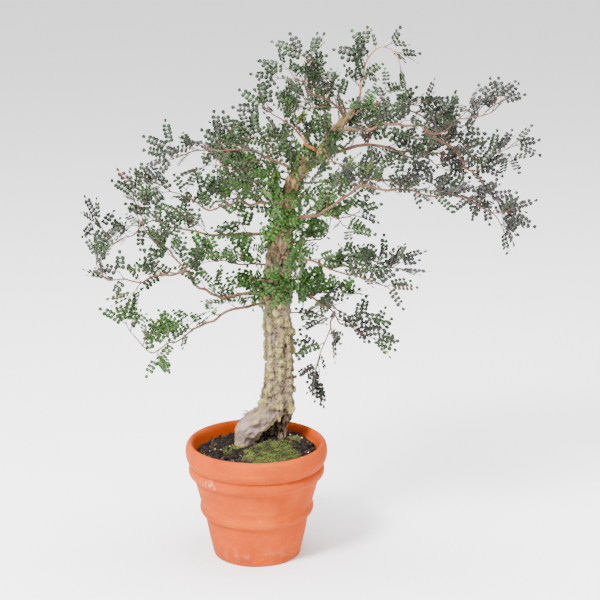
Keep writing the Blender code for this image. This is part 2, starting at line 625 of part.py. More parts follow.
def add_branches(parts, helpers, trunk_clear, materials):
    branches = {name: Branch(name) for name in BRANCHES}
    clearances = Clearances()
    samples, places = smooth_route([Vector(row[:3]) * CM for row in TRUNK], 20 * MM)
    radii = np.interp(places, range(len(TRUNK)), [row[3] * CM for row in TRUNK])
    clearances.add(*balls_along(samples, radii), "trunk")
    for branch in branches.values():
        for stretch in (branch.limb, branch.shoot):
            if stretch:
                clearances.add(*balls_along(*stretch), branch.name)

    clear_of = {"trunk": trunk_clear}
    for name in sorted({branch.parent for branch in branches.values()} - {"trunk"}):
        points, radii = branches[name].limb or branches[name].shoot
        sides = LIMB_SIDES if branches[name].limb else SHOOT_SIDES
        grown = [radius + GAP for radius in radii]
        clear_of[name] = hide(tube(f"clear_{name}", points, grown, sides, helpers))

    for name, branch in branches.items():
        if branch.limb:
            limb = tube(f"limb_{name}", *branch.limb, LIMB_SIDES, parts, materials["twig"])
            boolean(limb, "DIFFERENCE", clear_of[branch.parent])
        shoot = tube(f"shoot_{name}", *branch.shoot, SHOOT_SIDES, parts, materials["leaf"])
        frames = place_leaves(name, branch.shoot[0], clearances)
        boolean(shoot, "UNION", leaf_plates(f"leaves_{name}", frames, helpers))
        if not branch.limb:
            boolean(shoot, "DIFFERENCE", clear_of[branch.parent])


def main():
    clear_scene()
    parts = new_collection("bonsai_tree_in_pot")
    cutters = new_collection("cutters")
    materials = {name: new_material(name) for name in COLOURS}
    add_pot(parts, cutters, materials["terracotta"])
    trunk_clear = hide(add_trunk("clear_trunk", GAP, cutters, cutters))
    soil_clear = hide(new_object("clear_soil", soil_mesh("clear_soil", GAP / MM), cutters))
    soil = new_object("soil", soil_mesh("soil", 0), parts, materials["soil"])
    boolean(soil, "DIFFERENCE", trunk_clear)
    for name, (centre, radii) in MOSS.items():
        add_moss(name, centre, radii, parts, materials["moss"], (soil_clear, trunk_clear))
    add_trunk("trunk", 0, parts, cutters, materials["bark"])
    add_branches(parts, cutters, trunk_clear, materials)


main()
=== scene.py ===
"""The looks of a bonsai elephant tree in a terracotta pot: warty trunk, zig-zag twigs with pinnate leaves,
dark soil with perlite and moss, and an unglazed pot with a rolled rim.

Metres, +Z up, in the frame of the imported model. The tree's routes repeat those of the CAD source.
"""

import math
import random

import bmesh
import bpy
import numpy as np
from mathutils import Matrix, Vector, noise


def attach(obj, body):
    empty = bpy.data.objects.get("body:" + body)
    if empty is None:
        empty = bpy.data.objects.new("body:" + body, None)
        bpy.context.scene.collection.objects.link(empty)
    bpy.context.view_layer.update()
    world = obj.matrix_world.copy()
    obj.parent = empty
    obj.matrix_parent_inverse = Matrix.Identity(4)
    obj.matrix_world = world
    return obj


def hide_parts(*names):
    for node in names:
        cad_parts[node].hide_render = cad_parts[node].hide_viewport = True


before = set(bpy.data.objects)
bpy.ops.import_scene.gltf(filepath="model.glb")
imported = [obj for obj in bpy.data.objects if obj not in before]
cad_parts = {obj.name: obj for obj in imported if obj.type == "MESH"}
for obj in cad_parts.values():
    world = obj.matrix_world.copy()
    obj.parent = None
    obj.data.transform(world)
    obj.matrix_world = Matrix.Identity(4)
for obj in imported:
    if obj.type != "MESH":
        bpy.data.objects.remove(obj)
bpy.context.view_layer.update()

MM = 0.001
CM = 0.01
UP = Vector((0, 0, 1))

# Trunk: (x, y, z, radius) in cm, from below the soil upwards
TRUNK = (
    (2.4, 3.8, 12.0, 1.9),
    (2.4, 3.5, 16.0, 2.0),
    (2.3, 3.2, 18.5, 2.0),
    (2.8, 2.8, 21.5, 1.75),
    (2.9, 2.4, 25.0, 1.7),
    (2.9, 2.0, 28.0, 1.65),
    (2.7, 1.6, 31.0, 1.6),
    (2.5, 1.3, 33.5, 1.5),
    (2.5, 1.0, 36.5, 1.4),
    (2.7, 0.8, 38.5, 1.3),
    (2.9, 0.5, 40.5, 1.25),
    (3.3, 0.3, 42.5, 1.15),
    (3.6, 0.2, 44.5, 1.05),
    (4.2, 0.0, 46.5, 1.0),
    (4.8, 0.0, 48.5, 0.95),
    (5.8, 0.0, 50.0, 0.9),
    (7.8, 0.0, 51.8, 0.75),
    (9.0, 0.3, 53.2, 0.65),
    (10.0, 0.5, 54.8, 0.55),
    (11.2, 0.8, 56.2, 0.45),
    (12.2, 1.0, 57.2, 0.35),
)

# Branches by name: what it grows from, radius at its start in mm, number of points that are bare wood, and
# its points in cm
BRANCHES = {
    "left_low": ("trunk", 3.4, 7, (
        (2.6, 1.5, 32.2), (0.8, 0.2, 33.0), (-1.0, -1.5, 33.0), (-3.0, -3.0, 33.0), (-5.0, -4.0, 32.0),
        (-7.5, -5.0, 31.0), (-9.0, -5.5, 30.0), (-10.5, -6.0, 29.5), (-12.5, -6.5, 28.5),
        (-13.5, -6.5, 29.5), (-14.5, -6.5, 30.5), (-15.5, -6.0, 32.0))),
    "left_main": ("trunk", 4.0, 8, (
        (2.5, 1.2, 34.0), (0.5, 0.5, 34.3), (-2.0, -0.5, 34.3), (-4.0, -2.0, 34.2), (-6.0, -3.0, 35.5),
        (-7.5, -3.5, 36.5), (-8.5, -4.0, 38.5), (-9.5, -4.0, 39.5), (-10.5, -4.0, 41.0),
        (-12.0, -3.5, 41.5), (-13.0, -3.0, 42.5), (-13.5, -2.5, 43.5), (-14.0, -2.0, 45.5),
        (-14.5, -1.5, 47.0))),
    "left_main_side": ("left_main", 1.8, 0, (
        (-8.3, -3.9, 38.2), (-10.0, -5.0, 38.0), (-12.0, -6.0, 38.0), (-13.5, -7.0, 37.5),
        (-15.5, -7.5, 38.0), (-17.5, -7.5, 38.0), (-18.5, -7.0, 39.0), (-18.8, -6.5, 40.5))),
    "left_mid": ("trunk", 2.2, 0, (
        (2.6, 0.9, 37.5), (0.5, 0.5, 38.0), (-2.0, 0.0, 38.0), (-4.0, 0.5, 38.3), (-6.5, 1.0, 38.0))),
    "left_high": ("trunk", 3.4, 8, (
        (3.0, 0.5, 41.3), (1.5, 1.0, 41.5), (0.0, 2.0, 41.5), (-3.0, 3.5, 41.0), (-6.5, 5.5, 40.5),
        (-8.0, 6.0, 41.0), (-9.5, 6.5, 41.0), (-11.5, 7.0, 41.5), (-13.0, 7.0, 42.0),
        (-14.5, 6.5, 41.5), (-15.5, 6.0, 40.5), (-17.0, 5.5, 40.0), (-18.0, 5.0, 39.5),
        (-19.0, 4.5, 41.0), (-19.8, 4.0, 42.5))),
    "left_upper": ("trunk", 3.0, 6, (
        (3.6, 0.2, 44.6), (2.5, 0.2, 45.3), (1.0, 0.0, 45.8), (-0.5, -0.5, 45.7), (-2.0, -1.0, 46.0),
        (-4.0, -2.0, 45.8), (-5.5, -3.0, 45.5), (-7.0, -3.0, 46.5), (-9.0, -3.5, 47.5),
        (-10.0, -4.0, 48.0), (-11.5, -4.0, 49.0))),
    "left_upper_side": ("left_upper", 1.8, 0, (
        (1.0, 0.0, 45.8), (0.0, 2.0, 46.4), (-1.5, 4.0, 46.3), (-2.5, 5.5, 46.0), (-3.0, 6.5, 47.0),
        (-3.5, 7.0, 48.5))),
    "left_top": ("trunk", 2.4, 0, (
        (4.7, 0.0, 48.2), (3.5, 1.0, 48.5), (2.3, 2.0, 48.8), (0.5, 3.5, 48.8), (-1.0, 4.5, 49.0),
        (-2.5, 5.5, 49.0), (-4.0, 6.5, 49.0), (-6.0, 7.5, 49.0), (-7.2, 8.0, 48.5))),
    "crown_left": ("trunk", 3.0, 6, (
        (5.5, 0.0, 49.7), (4.0, -1.0, 50.5), (2.0, -2.0, 51.5), (0.7, -3.0, 52.5), (-0.6, -4.0, 53.0),
        (-2.0, -4.5, 53.2), (-4.0, -5.5, 53.2), (-5.5, -6.0, 53.4), (-7.0, -6.5, 53.4),
        (-8.0, -7.0, 53.0), (-9.5, -7.0, 52.8))),
    "crown_left_back": ("trunk", 2.2, 0, (
        (6.6, 0.0, 50.7), (5.3, 1.5, 51.3), (3.7, 2.5, 51.7), (2.3, 3.5, 52.0), (1.0, 4.5, 52.6),
        (-0.5, 5.0, 52.8), (-2.0, 5.5, 53.0))),
    "crown_stub": ("trunk", 3.8, 4, (
        (7.8, 0.0, 51.8), (7.0, -1.0, 52.6), (6.3, -2.0, 53.4), (5.6, -3.0, 54.5), (4.6, -3.5, 55.7),
        (3.2, -4.0, 56.7), (2.2, -4.0, 57.4), (1.4, -4.0, 58.0))),
    "top_left": ("trunk", 2.8, 0, (
        (11.0, 0.7, 56.0), (10.5, 0.2, 57.0), (9.5, -0.5, 58.0), (8.0, -1.5, 59.0), (6.3, -2.5, 59.8),
        (6.0, -3.0, 61.0), (6.2, -3.0, 62.5), (6.8, -3.0, 64.0))),
    "top_left_side": ("top_left", 1.0, 0, (
        (6.0, -3.0, 61.0), (5.0, -3.2, 61.3), (4.0, -3.0, 61.4), (3.0, -3.0, 61.5))),
    "top_middle": ("trunk", 2.0, 0, (
        (11.2, 0.8, 56.2), (10.9, 1.8, 57.2), (10.4, 2.5, 58.3), (9.8, 3.0, 59.6), (9.2, 3.5, 60.3),
        (8.2, 4.0, 61.3))),
    "top_right": ("trunk", 2.4, 0, (
        (12.1, 1.0, 57.1), (12.6, 0.6, 58.4), (12.9, 0.0, 60.0), (13.1, 0.0, 61.5), (13.8, 0.0, 63.5),
        (14.6, -0.5, 64.5), (15.6, -1.0, 65.0), (16.7, -1.5, 64.5), (17.4, -2.0, 63.5),
        (17.5, -2.0, 62.5))),
    "top_far_right": ("trunk", 2.8, 0, (
        (11.6, 0.9, 56.6), (13.5, 1.3, 57.2), (15.2, 2.0, 57.6), (17.0, 3.0, 57.3), (18.6, 4.0, 57.1),
        (20.3, 5.0, 57.0), (22.0, 6.0, 56.3))),
    "top_far_right_side": ("top_far_right", 1.0, 0, (
        (18.6, 4.0, 57.1), (19.9, 4.5, 56.0), (21.0, 5.0, 55.3), (22.0, 5.5, 54.0))),
    "right_top": ("trunk", 3.4, 8, (
        (10.0, 0.5, 54.8), (11.5, -0.2, 54.8), (13.0, -1.5, 55.0), (14.3, -2.5, 55.3),
        (15.4, -3.0, 56.0), (18.0, -4.0, 56.0), (20.0, -4.5, 56.0), (21.4, -5.0, 55.0),
        (23.0, -5.5, 56.0), (24.2, -6.0, 57.0), (25.8, -6.5, 57.3), (28.0, -7.0, 58.0),
        (29.0, -7.0, 59.3))),
    "right_top_side": ("right_top", 2.0, 0, (
        (20.2, -4.6, 55.8), (21.2, -3.8, 54.6), (22.5, -3.5, 54.0), (23.7, -3.5, 53.3),
        (24.8, -3.5, 52.0), (25.4, -3.0, 50.7), (27.0, -3.0, 49.7), (28.0, -3.0, 48.3),
        (29.0, -3.0, 47.0), (30.0, -3.0, 45.3))),
    "right_high": ("trunk", 3.8, 7, (
        (7.4, 0.0, 51.4), (9.6, 0.8, 51.8), (11.5, 1.0, 52.4), (13.2, 1.2, 52.7), (15.0, 1.5, 52.7),
        (17.7, 2.0, 51.8), (20.0, 3.0, 51.5), (22.3, 3.5, 51.2), (25.3, 4.0, 51.2), (28.2, 4.5, 50.6),
        (30.3, 5.0, 51.0), (32.3, 5.0, 52.0))),
    "right_high_side": ("right_high", 1.6, 0, (
        (17.7, 2.0, 51.8), (18.4, 1.0, 51.4), (19.6, 0.0, 51.4), (21.0, -0.5, 51.4), (22.0, -0.5, 50.5),
        (23.2, -0.5, 50.0))),
    "right_main": ("trunk", 4.0, 9, (
        (3.2, 0.3, 42.0), (4.7, -1.0, 43.4), (5.5, -2.0, 44.3), (7.3, -3.0, 44.8), (8.5, -3.5, 45.6),
        (10.3, -4.0, 46.8), (11.8, -4.5, 48.0), (12.8, -4.5, 48.8), (14.6, -5.0, 48.6),
        (16.0, -5.5, 48.5), (18.0, -6.0, 48.7), (20.0, -6.5, 48.2), (21.6, -7.0, 48.0),
        (23.2, -7.0, 48.3), (25.2, -7.0, 47.7), (27.2, -7.0, 46.7), (29.0, -6.5, 45.3),
        (29.8, -6.0, 43.8))),
    "right_main_upper": ("right_main", 1.8, 0, (
        (12.6, -4.5, 48.7), (14.2, -3.5, 49.4), (16.0, -3.0, 49.3), (17.5, -2.5, 48.7),
        (19.5, -2.0, 48.0), (21.6, -1.5, 47.6))),
    "right_main_lower": ("right_main", 1.6, 0, (
        (8.3, -3.4, 45.4), (9.9, -4.0, 44.8), (11.4, -5.0, 45.2), (12.5, -5.5, 45.8))),
    "right_back": ("trunk", 2.4, 0, (
        (4.4, 0.0, 47.3), (6.0, 1.8, 47.8), (7.3, 3.0, 47.8), (9.6, 5.0, 47.2), (11.8, 7.0, 47.0),
        (13.8, 9.0, 47.0))),
    "right_inner": ("trunk", 2.2, 0, (
        (3.0, 0.5, 40.7), (5.3, 2.0, 40.3), (6.3, 3.0, 40.2), (7.3, 4.0, 40.3), (8.2, 5.0, 40.0),
        (9.2, 5.5, 41.0), (9.4, 5.5, 42.4))),
    "right_low": ("trunk", 3.0, 7, (
        (2.7, 0.8, 38.9), (4.0, -1.0, 39.0), (5.5, -2.0, 39.1), (7.1, -3.0, 39.1), (8.3, -3.5, 38.7),
        (9.1, -4.0, 38.4), (10.7, -4.5, 38.1), (12.3, -5.0, 37.8), (13.7, -5.5, 37.5),
        (14.7, -6.0, 37.2), (16.0, -6.0, 36.8))),
    "right_low_side": ("right_low", 1.5, 0, (
        (9.1, -4.0, 38.4), (10.0, -3.2, 38.5), (11.2, -2.8, 38.4), (12.8, -2.5, 38.0),
        (14.4, -2.0, 38.0), (16.0, -1.5, 38.0), (17.6, -1.0, 37.7))),
    "right_base": ("trunk", 2.6, 0, (
        (2.6, 1.3, 34.6), (5.0, 0.9, 34.5), (6.3, 1.0, 34.3), (8.0, 2.0, 34.0), (9.6, 3.0, 33.6),
        (11.0, 4.0, 33.3))),
    "right_hanging": ("right_base", 2.0, 4, (
        (6.1, 1.0, 34.3), (7.5, 0.0, 33.4), (8.8, -0.3, 32.7), (9.8, -0.5, 31.9), (10.6, -0.5, 30.6),
        (11.7, -1.0, 30.2), (13.0, -1.0, 29.5), (14.6, -1.0, 28.8))),
    "right_dangling": ("right_hanging", 1.3, 0, (
        (9.7, -0.5, 32.0), (9.5, 0.3, 30.6), (9.2, 0.5, 29.0), (8.6, 0.5, 27.8), (8.0, 0.5, 26.5),
        (7.9, 0.5, 25.0), (7.9, 0.5, 23.2))),
    "right_stub": ("trunk", 1.8, 0, (
        (2.7, 1.6, 31.5), (4.4, 1.6, 31.4), (6.2, 2.0, 31.3), (7.6, 3.0, 31.0))),
    "front_low": ("trunk", 2.2, 0, (
        (2.5, 1.0, 36.4), (3.2, -2.5, 37.4), (3.7, -5.0, 37.8), (4.5, -9.0, 38.6), (5.2, -12.0, 39.6))),
    "front_mid": ("trunk", 2.2, 0, (
        (4.0, 0.0, 46.0), (3.6, -4.0, 46.8), (3.2, -8.0, 47.4), (2.5, -11.5, 48.2))),
    "front_high": ("trunk", 2.2, 0, (
        (8.4, 0.1, 52.6), (8.9, -4.0, 52.2), (9.6, -8.0, 52.2), (10.5, -12.0, 52.6))),
    "back_low": ("trunk", 2.6, 0, (
        (2.6, 0.9, 37.8), (3.8, 5.0, 39.4), (4.8, 9.0, 40.3), (5.7, 13.0, 40.8), (5.4, 16.0, 41.8))),
    "back_left": ("trunk", 3.0, 3, (
        (3.5, 0.3, 43.6), (2.0, 4.0, 44.9), (0.7, 7.5, 45.7), (-0.8, 11.0, 46.7), (-2.8, 14.0, 47.3),
        (-4.6, 16.5, 48.8))),
    "back_right": ("trunk", 3.0, 3, (
        (5.6, 0.0, 49.8), (7.0, 4.5, 50.6), (8.6, 8.0, 51.4), (10.6, 11.5, 52.2), (12.6, 14.5, 52.4),
        (15.0, 17.0, 53.6))),
    "back_top": ("trunk", 2.2, 0, (
        (9.6, 0.4, 54.1), (8.2, 4.0, 55.2), (7.0, 7.5, 56.3), (5.5, 11.0, 57.6))),
}

TRUNK_TOP_Z = 0.572  # m
TIP_RADIUS = 0.55  # mm, at the end of a branch
THIN_WOOD = (0.082, 0.034, 0.021)
THICK_WOOD = (0.175, 0.098, 0.050)

# Branches with a wood colour of their own: fresh orange wood on the cut stub, pale tan on the top arch
BRANCH_PAINT = {"crown_stub": (0.36, 0.135, 0.035), "top_right": (0.27, 0.145, 0.075)}

# The tone of a branch's leaves, where it has one of its own: 0 is bright green and 1 is nearly black
TONE = {
    "left_low": 0.3,
    "left_mid": 0.15,
    "left_upper_side": 0.35,
    "right_inner": 0.0,
    "right_stub": 0.1,
    "right_base": 0.1,
    "right_dangling": 0.85,
    "right_hanging": 0.75,
    "front_low": 0.0,
    "front_mid": 0.1,
}

# Share of the usual leaves and side twigs, on the shoots that would hide the trunk from the front
FULLNESS = {"front_low": 0.5, "front_mid": 0.4}

# Pot, in mm
POT_STEPS = 240
DRAIN_HOLES = 3
DRAIN_CIRCLE = 24
DRAIN_RADIUS = 5
WORN_SIDE = Vector((-0.69, -0.72, 0))  # the side of the pale worn patch on the collar

# Soil, in mm
SOIL_STEPS = 300
SOIL_RINGS = 78
SOIL_RADIUS = 77.0
SOIL_FOOT_RADIUS = 70
SOIL_FOOT_Z = 100
SOIL_EDGE_Z = 133
LUMPS_END = 76.5
LOOSE_END = 75  # nothing loose lies farther out
ROOT_FEET = ((24, 36, 17), (-14, 4, 13))  # centres and radii kept free of crumbs
CRUMBS = 1500
PERLITE_GRAINS = 64
FIBRES = 170
CRUMB_COLOURS = ((0.009, 0.006, 0.004), (0.007, 0.005, 0.004), (0.018, 0.012, 0.008), (0.038, 0.026, 0.018))
PERLITE_COLOUR = (0.80, 0.77, 0.70)
FIBRE_COLOURS = ((0.20, 0.12, 0.06), (0.10, 0.055, 0.03), (0.30, 0.20, 0.11), (0.05, 0.03, 0.02))
DEAD_TWIG_COLOUR = (0.035, 0.022, 0.018)
DEAD_TWIGS = (
    ((-2, 26, 172), (-7, 24, 177), (-12, 23, 179), (-19, 22, 177)),
    ((-5, 24, 170), (-12, 22, 173), (-20, 21, 172), (-24, 22, 168)),
    ((-9, 24, 178), (-13, 22, 182), (-18, 21, 182)),
)
MOUND_CENTRE = (22, 30)
MOUND_HEIGHT = 12
MOUND_SPREAD = 42

# Moss pads, in mm: centre, radii and height
MOSS = {
    "moss_front": (20, -22, 39, 36, 8),
    "moss_left": (-34, 6, 11, 12, 4),
    "moss_right": (48, 28, 8, 8, 5),
}
MOSS_RINGS = 16
MOSS_STEPS = 48
BLADES_PER_MM2 = 1.15
CUSHION_COLOUR = (0.030, 0.038, 0.012)
CUSHION_FOOT_COLOUR = (0.03, 0.04, 0.01)

# Dull and bright ends of the moss colours; the last pair is dead and brown
MOSS_SHADES = (
    ((0.026, 0.038, 0.008), (0.080, 0.130, 0.013)),
    ((0.026, 0.038, 0.008), (0.098, 0.145, 0.016)),
    ((0.035, 0.032, 0.011), (0.110, 0.080, 0.032)),
)

# Tufts of bright leaves that grow straight from the trunk: place in cm and how many leaves
SPURS = (
    ((-0.4, -0.6, 36.0), 15), ((3.0, -1.4, 35.4), 16), ((5.8, -0.4, 34.8), 16), ((3.2, -1.2, 44.0), 13),
    ((5.2, -0.6, 39.3), 9), ((2.4, -1.2, 49.5), 13), ((3.0, -1.4, 47.0), 10), ((5.8, -0.8, 47.8), 13),
    ((5.0, -0.6, 57.5), 10), ((9.0, -0.8, 54.5), 8), ((13.0, -0.8, 58.3), 11), ((1.2, -0.6, 40.5), 8),
    ((4.4, -1.0, 52.0), 10), ((7.6, -1.0, 51.4), 9), ((1.6, 3.6, 35.0), 10), ((4.6, 3.0, 38.5), 9),
    ((3.4, 2.6, 45.5), 10), ((6.0, 2.4, 50.5), 10),
)

# Studio, in metres and watts
FLOOR_HALF = 40
WORLD_STRENGTH = 1.6
LAMPS_AIM = Vector((0.05, 0, 0.35))
# name, place, size, power
LAMPS = (
    ("key", (-1.1, -1.5, 2.2), 0.6, 240),
    ("fill", (1.6, -1.4, 1.1), 1.6, 16),
    ("top", (0.3, 0.1, 2.6), 0.9, 110),
)
CAMERA_AIM = Vector((0.0553, 0, 0.3345))
CAMERA_DISTANCE = 2.2
CAMERA_PITCH = 15  # degrees down
CAMERA_LENS = 106.2  # mm, on a sensor 36 mm wide


# --- materials ---


def make_material(name, roughness, specular=0.5):
    material = bpy.data.materials.new(name)
    material.use_nodes = True
    shader = material.node_tree.nodes["Principled BSDF"]
    shader.inputs["Roughness"].default_value = roughness
    shader.inputs["Specular IOR Level"].default_value = specular
    return material, material.node_tree, shader


def node(tree, kind, inputs=None, **settings):
    """A new node with its settings and inputs. An input is a value or the socket that feeds it."""
    made = tree.nodes.new(kind)
    for key, value in settings.items():
        setattr(made, key, value)
    for key, value in (inputs or {}).items():
        if isinstance(value, bpy.types.NodeSocket):
            tree.links.new(value, made.inputs[key])
        else:
            made.inputs[key].default_value = value
    return made


def rgb(red, green, blue):
    return (red, green, blue, 1)


def grey(value):
    return (value, value, value, 1)


def noise_node(tree, scale, detail, roughness, vector):
    inputs = {"Scale": scale, "Detail": detail, "Roughness": roughness, "Vector": vector}
    return node(tree, "ShaderNodeTexNoise", inputs).outputs["Fac"]


def object_place(tree, stretch=(1, 1, 1)):
    """Object coordinates, stretched along each axis."""
    place = node(tree, "ShaderNodeTexCoord").outputs["Object"]
    return node(tree, "ShaderNodeMapping", {"Vector": place, "Scale": stretch}).outputs["Vector"]


def ramp(tree, factor, *stops):
    """A colour ramp through (position, colour) stops."""
    made = node(tree, "ShaderNodeValToRGB", {"Fac": factor})
    elements = made.color_ramp.elements
    while len(elements) < len(stops):
        elements.new(0.5)
    for element, (position, colour) in zip(elements, stops):
        element.position = position
        element.color = colour
    return made.outputs["Color"]


def mix(tree, factor, first, second, blend="MIX"):
    made = node(tree, "ShaderNodeMix", data_type="RGBA", blend_type=blend, clamp_factor=True)
    for index, value in ((0, factor), (6, first), (7, second)):
        if isinstance(value, bpy.types.NodeSocket):
            tree.links.new(value, made.inputs[index])
        else:
            made.inputs[index].default_value = value
    return made.outputs[2]


def math_node(tree, operation, first, second):
    return node(tree, "ShaderNodeMath", {0: first, 1: second}, operation=operation).outputs[0]


def stain(tree, mask, share, under, over):
    """Lays the colour over on the colour under, where the mask is, as strong as share says."""
    return mix(tree, math_node(tree, "MULTIPLY", mask, share), under, over)


def stored_colour(tree, name):
    """The colour that the mesh stores for each vertex under this name."""
    return node(tree, "ShaderNodeAttribute", attribute_name=name).outputs["Color"]


def between(tree, value, low, high):
    """0 at low, 1 at high, smooth in between."""
    inputs = {"Value": value, "From Min": low, "From Max": high}
    return node(tree, "ShaderNodeMapRange", inputs, interpolation_type="SMOOTHSTEP").outputs["Result"]


def bump(tree, shader, height, strength, distance, under=None):
    inputs = {"Height": height, "Strength": strength, "Distance": distance}
    if under is not None:
        inputs["Normal"] = under
    made = node(tree, "ShaderNodeBump", inputs).outputs["Normal"]
    tree.links.new(made, shader.inputs["Normal"])
    return made


def terracotta_material():
    material, tree, shader = make_material("terracotta", 0.82, 0.15)
    place = object_place(tree)
    clouds = noise_node(tree, 22, 5, 0.6, place)
    body = ramp(
        tree, clouds,
        (0.3, rgb(0.32, 0.037, 0.0004)),
        (0.52, rgb(0.39, 0.049, 0.0004)),
        (0.75, rgb(0.45, 0.065, 0.001)),
    )
    streaks = noise_node(tree, 9, 4, 0.6, object_place(tree, (1, 1, 9)))
    body = mix(tree, between(tree, streaks, 0.52, 0.75), body, rgb(0.47, 0.078, 0.003))
    specks = noise_node(tree, 420, 2, 0.5, place)
    body = mix(tree, between(tree, specks, 0.66, 0.76), body, rgb(0.22, 0.028, 0.002))
    pale_specks = noise_node(tree, 260, 2, 0.5, object_place(tree, (1, 1, 1.3)))
    body = mix(tree, between(tree, pale_specks, 0.68, 0.8), body, rgb(0.52, 0.15, 0.04))
    # The stored colour holds the inner wall (damp and painted shade), the chalk, and the darker foot with
    # painted shade in the creases.
    split = node(tree, "ShaderNodeSeparateColor", {"Color": stored_colour(tree, "wear_and_shade")})
    inside, chalk, dark_foot_and_crease_shade = (split.outputs[name] for name in ("Red", "Green", "Blue"))
    # The inner wall: darker as damp clay and as painted shade.
    body = stain(tree, inside, 0.6, body, rgb(0.16, 0.026, 0.002))
    chalk_spots = between(tree, noise_node(tree, 90, 5, 0.7, place), 0.48, 0.62)
    body = stain(tree, math_node(tree, "MULTIPLY", chalk, chalk_spots), 0.55, body, rgb(0.56, 0.31, 0.18))
    # The darker foot and the painted shade in the creases, broken into spots.
    dark_foot_and_crease_spots = between(tree, noise_node(tree, 150, 5, 0.7, place), 0.5, 0.66)
    body = stain(tree, math_node(tree, "MULTIPLY", dark_foot_and_crease_shade, dark_foot_and_crease_spots), 0.8, body, rgb(0.16, 0.05, 0.025))
    tree.links.new(body, shader.inputs["Base Color"])
    rough = ramp(tree, noise_node(tree, 60, 3, 0.5, place), (0.3, grey(0.74)), (0.7, grey(0.9)))
    tree.links.new(rough, shader.inputs["Roughness"])
    rings = noise_node(tree, 30, 3, 0.5, object_place(tree, (0.15, 0.15, 9)))
    under = bump(tree, shader, rings, 0.25, 0.4 * MM)
    bump(tree, shader, noise_node(tree, 900, 4, 0.65, place), 0.35, 0.25 * MM, under)
    return material


def soil_material():
    material, tree, shader = make_material("soil", 0.95, 0.2)
    place = object_place(tree)
    colour = ramp(
        tree, noise_node(tree, 160, 6, 0.7, place),
        (0.3, rgb(0.003, 0.002, 0.0015)), (0.5, rgb(0.009, 0.006, 0.004)),
        (0.64, rgb(0.019, 0.013, 0.009)), (0.8, rgb(0.052, 0.037, 0.026)),
    )
    tree.links.new(colour, shader.inputs["Base Color"])
    bump(tree, shader, noise_node(tree, 700, 6, 0.7, place), 0.9, 1.2 * MM)
    return material


def crumb_material():
    material, tree, shader = make_material("soil_crumb", 0.9, 0.25)
    place = object_place(tree)
    tint = stored_colour(tree, "tint")
    grain = ramp(tree, noise_node(tree, 500, 4, 0.6, place), (0.3, grey(0.45)), (0.7, rgb(1.5, 1.4, 1.3)))
    tree.links.new(mix(tree, 1.0, tint, grain, "MULTIPLY"), shader.inputs["Base Color"])
    bump(tree, shader, noise_node(tree, 1500, 4, 0.6, place), 0.6, 0.4 * MM)
    return material


def tinted_material(name, roughness, grain_scale, bump_distance, specular=0.4, low=0.75, high=1.25):
    """A material whose colour comes from the piece's tint, broken up by a fine grain."""
    material, tree, shader = make_material(name, roughness, specular)
    place = object_place(tree)
    tint = stored_colour(tree, "tint")
    shade = noise_node(tree, grain_scale, 4, 0.6, place)
    grain = ramp(tree, shade, (0.3, grey(low)), (0.7, grey(high)))
    tree.links.new(mix(tree, 1.0, tint, grain, "MULTIPLY"), shader.inputs["Base Color"])
    bump(tree, shader, shade, 0.5, bump_distance)
    return material, tree, shader


def leaf_material():
    """Satin leaflets with a thin coat. The tint gives each leaflet its own green."""
    material, tree, shader = tinted_material("leaf", 0.50, 900, 0.08 * MM, 0.35, 0.78, 1.2)
    shader.inputs["Coat Weight"].default_value = 0.05
    shader.inputs["Coat Roughness"].default_value = 0.25
    return material


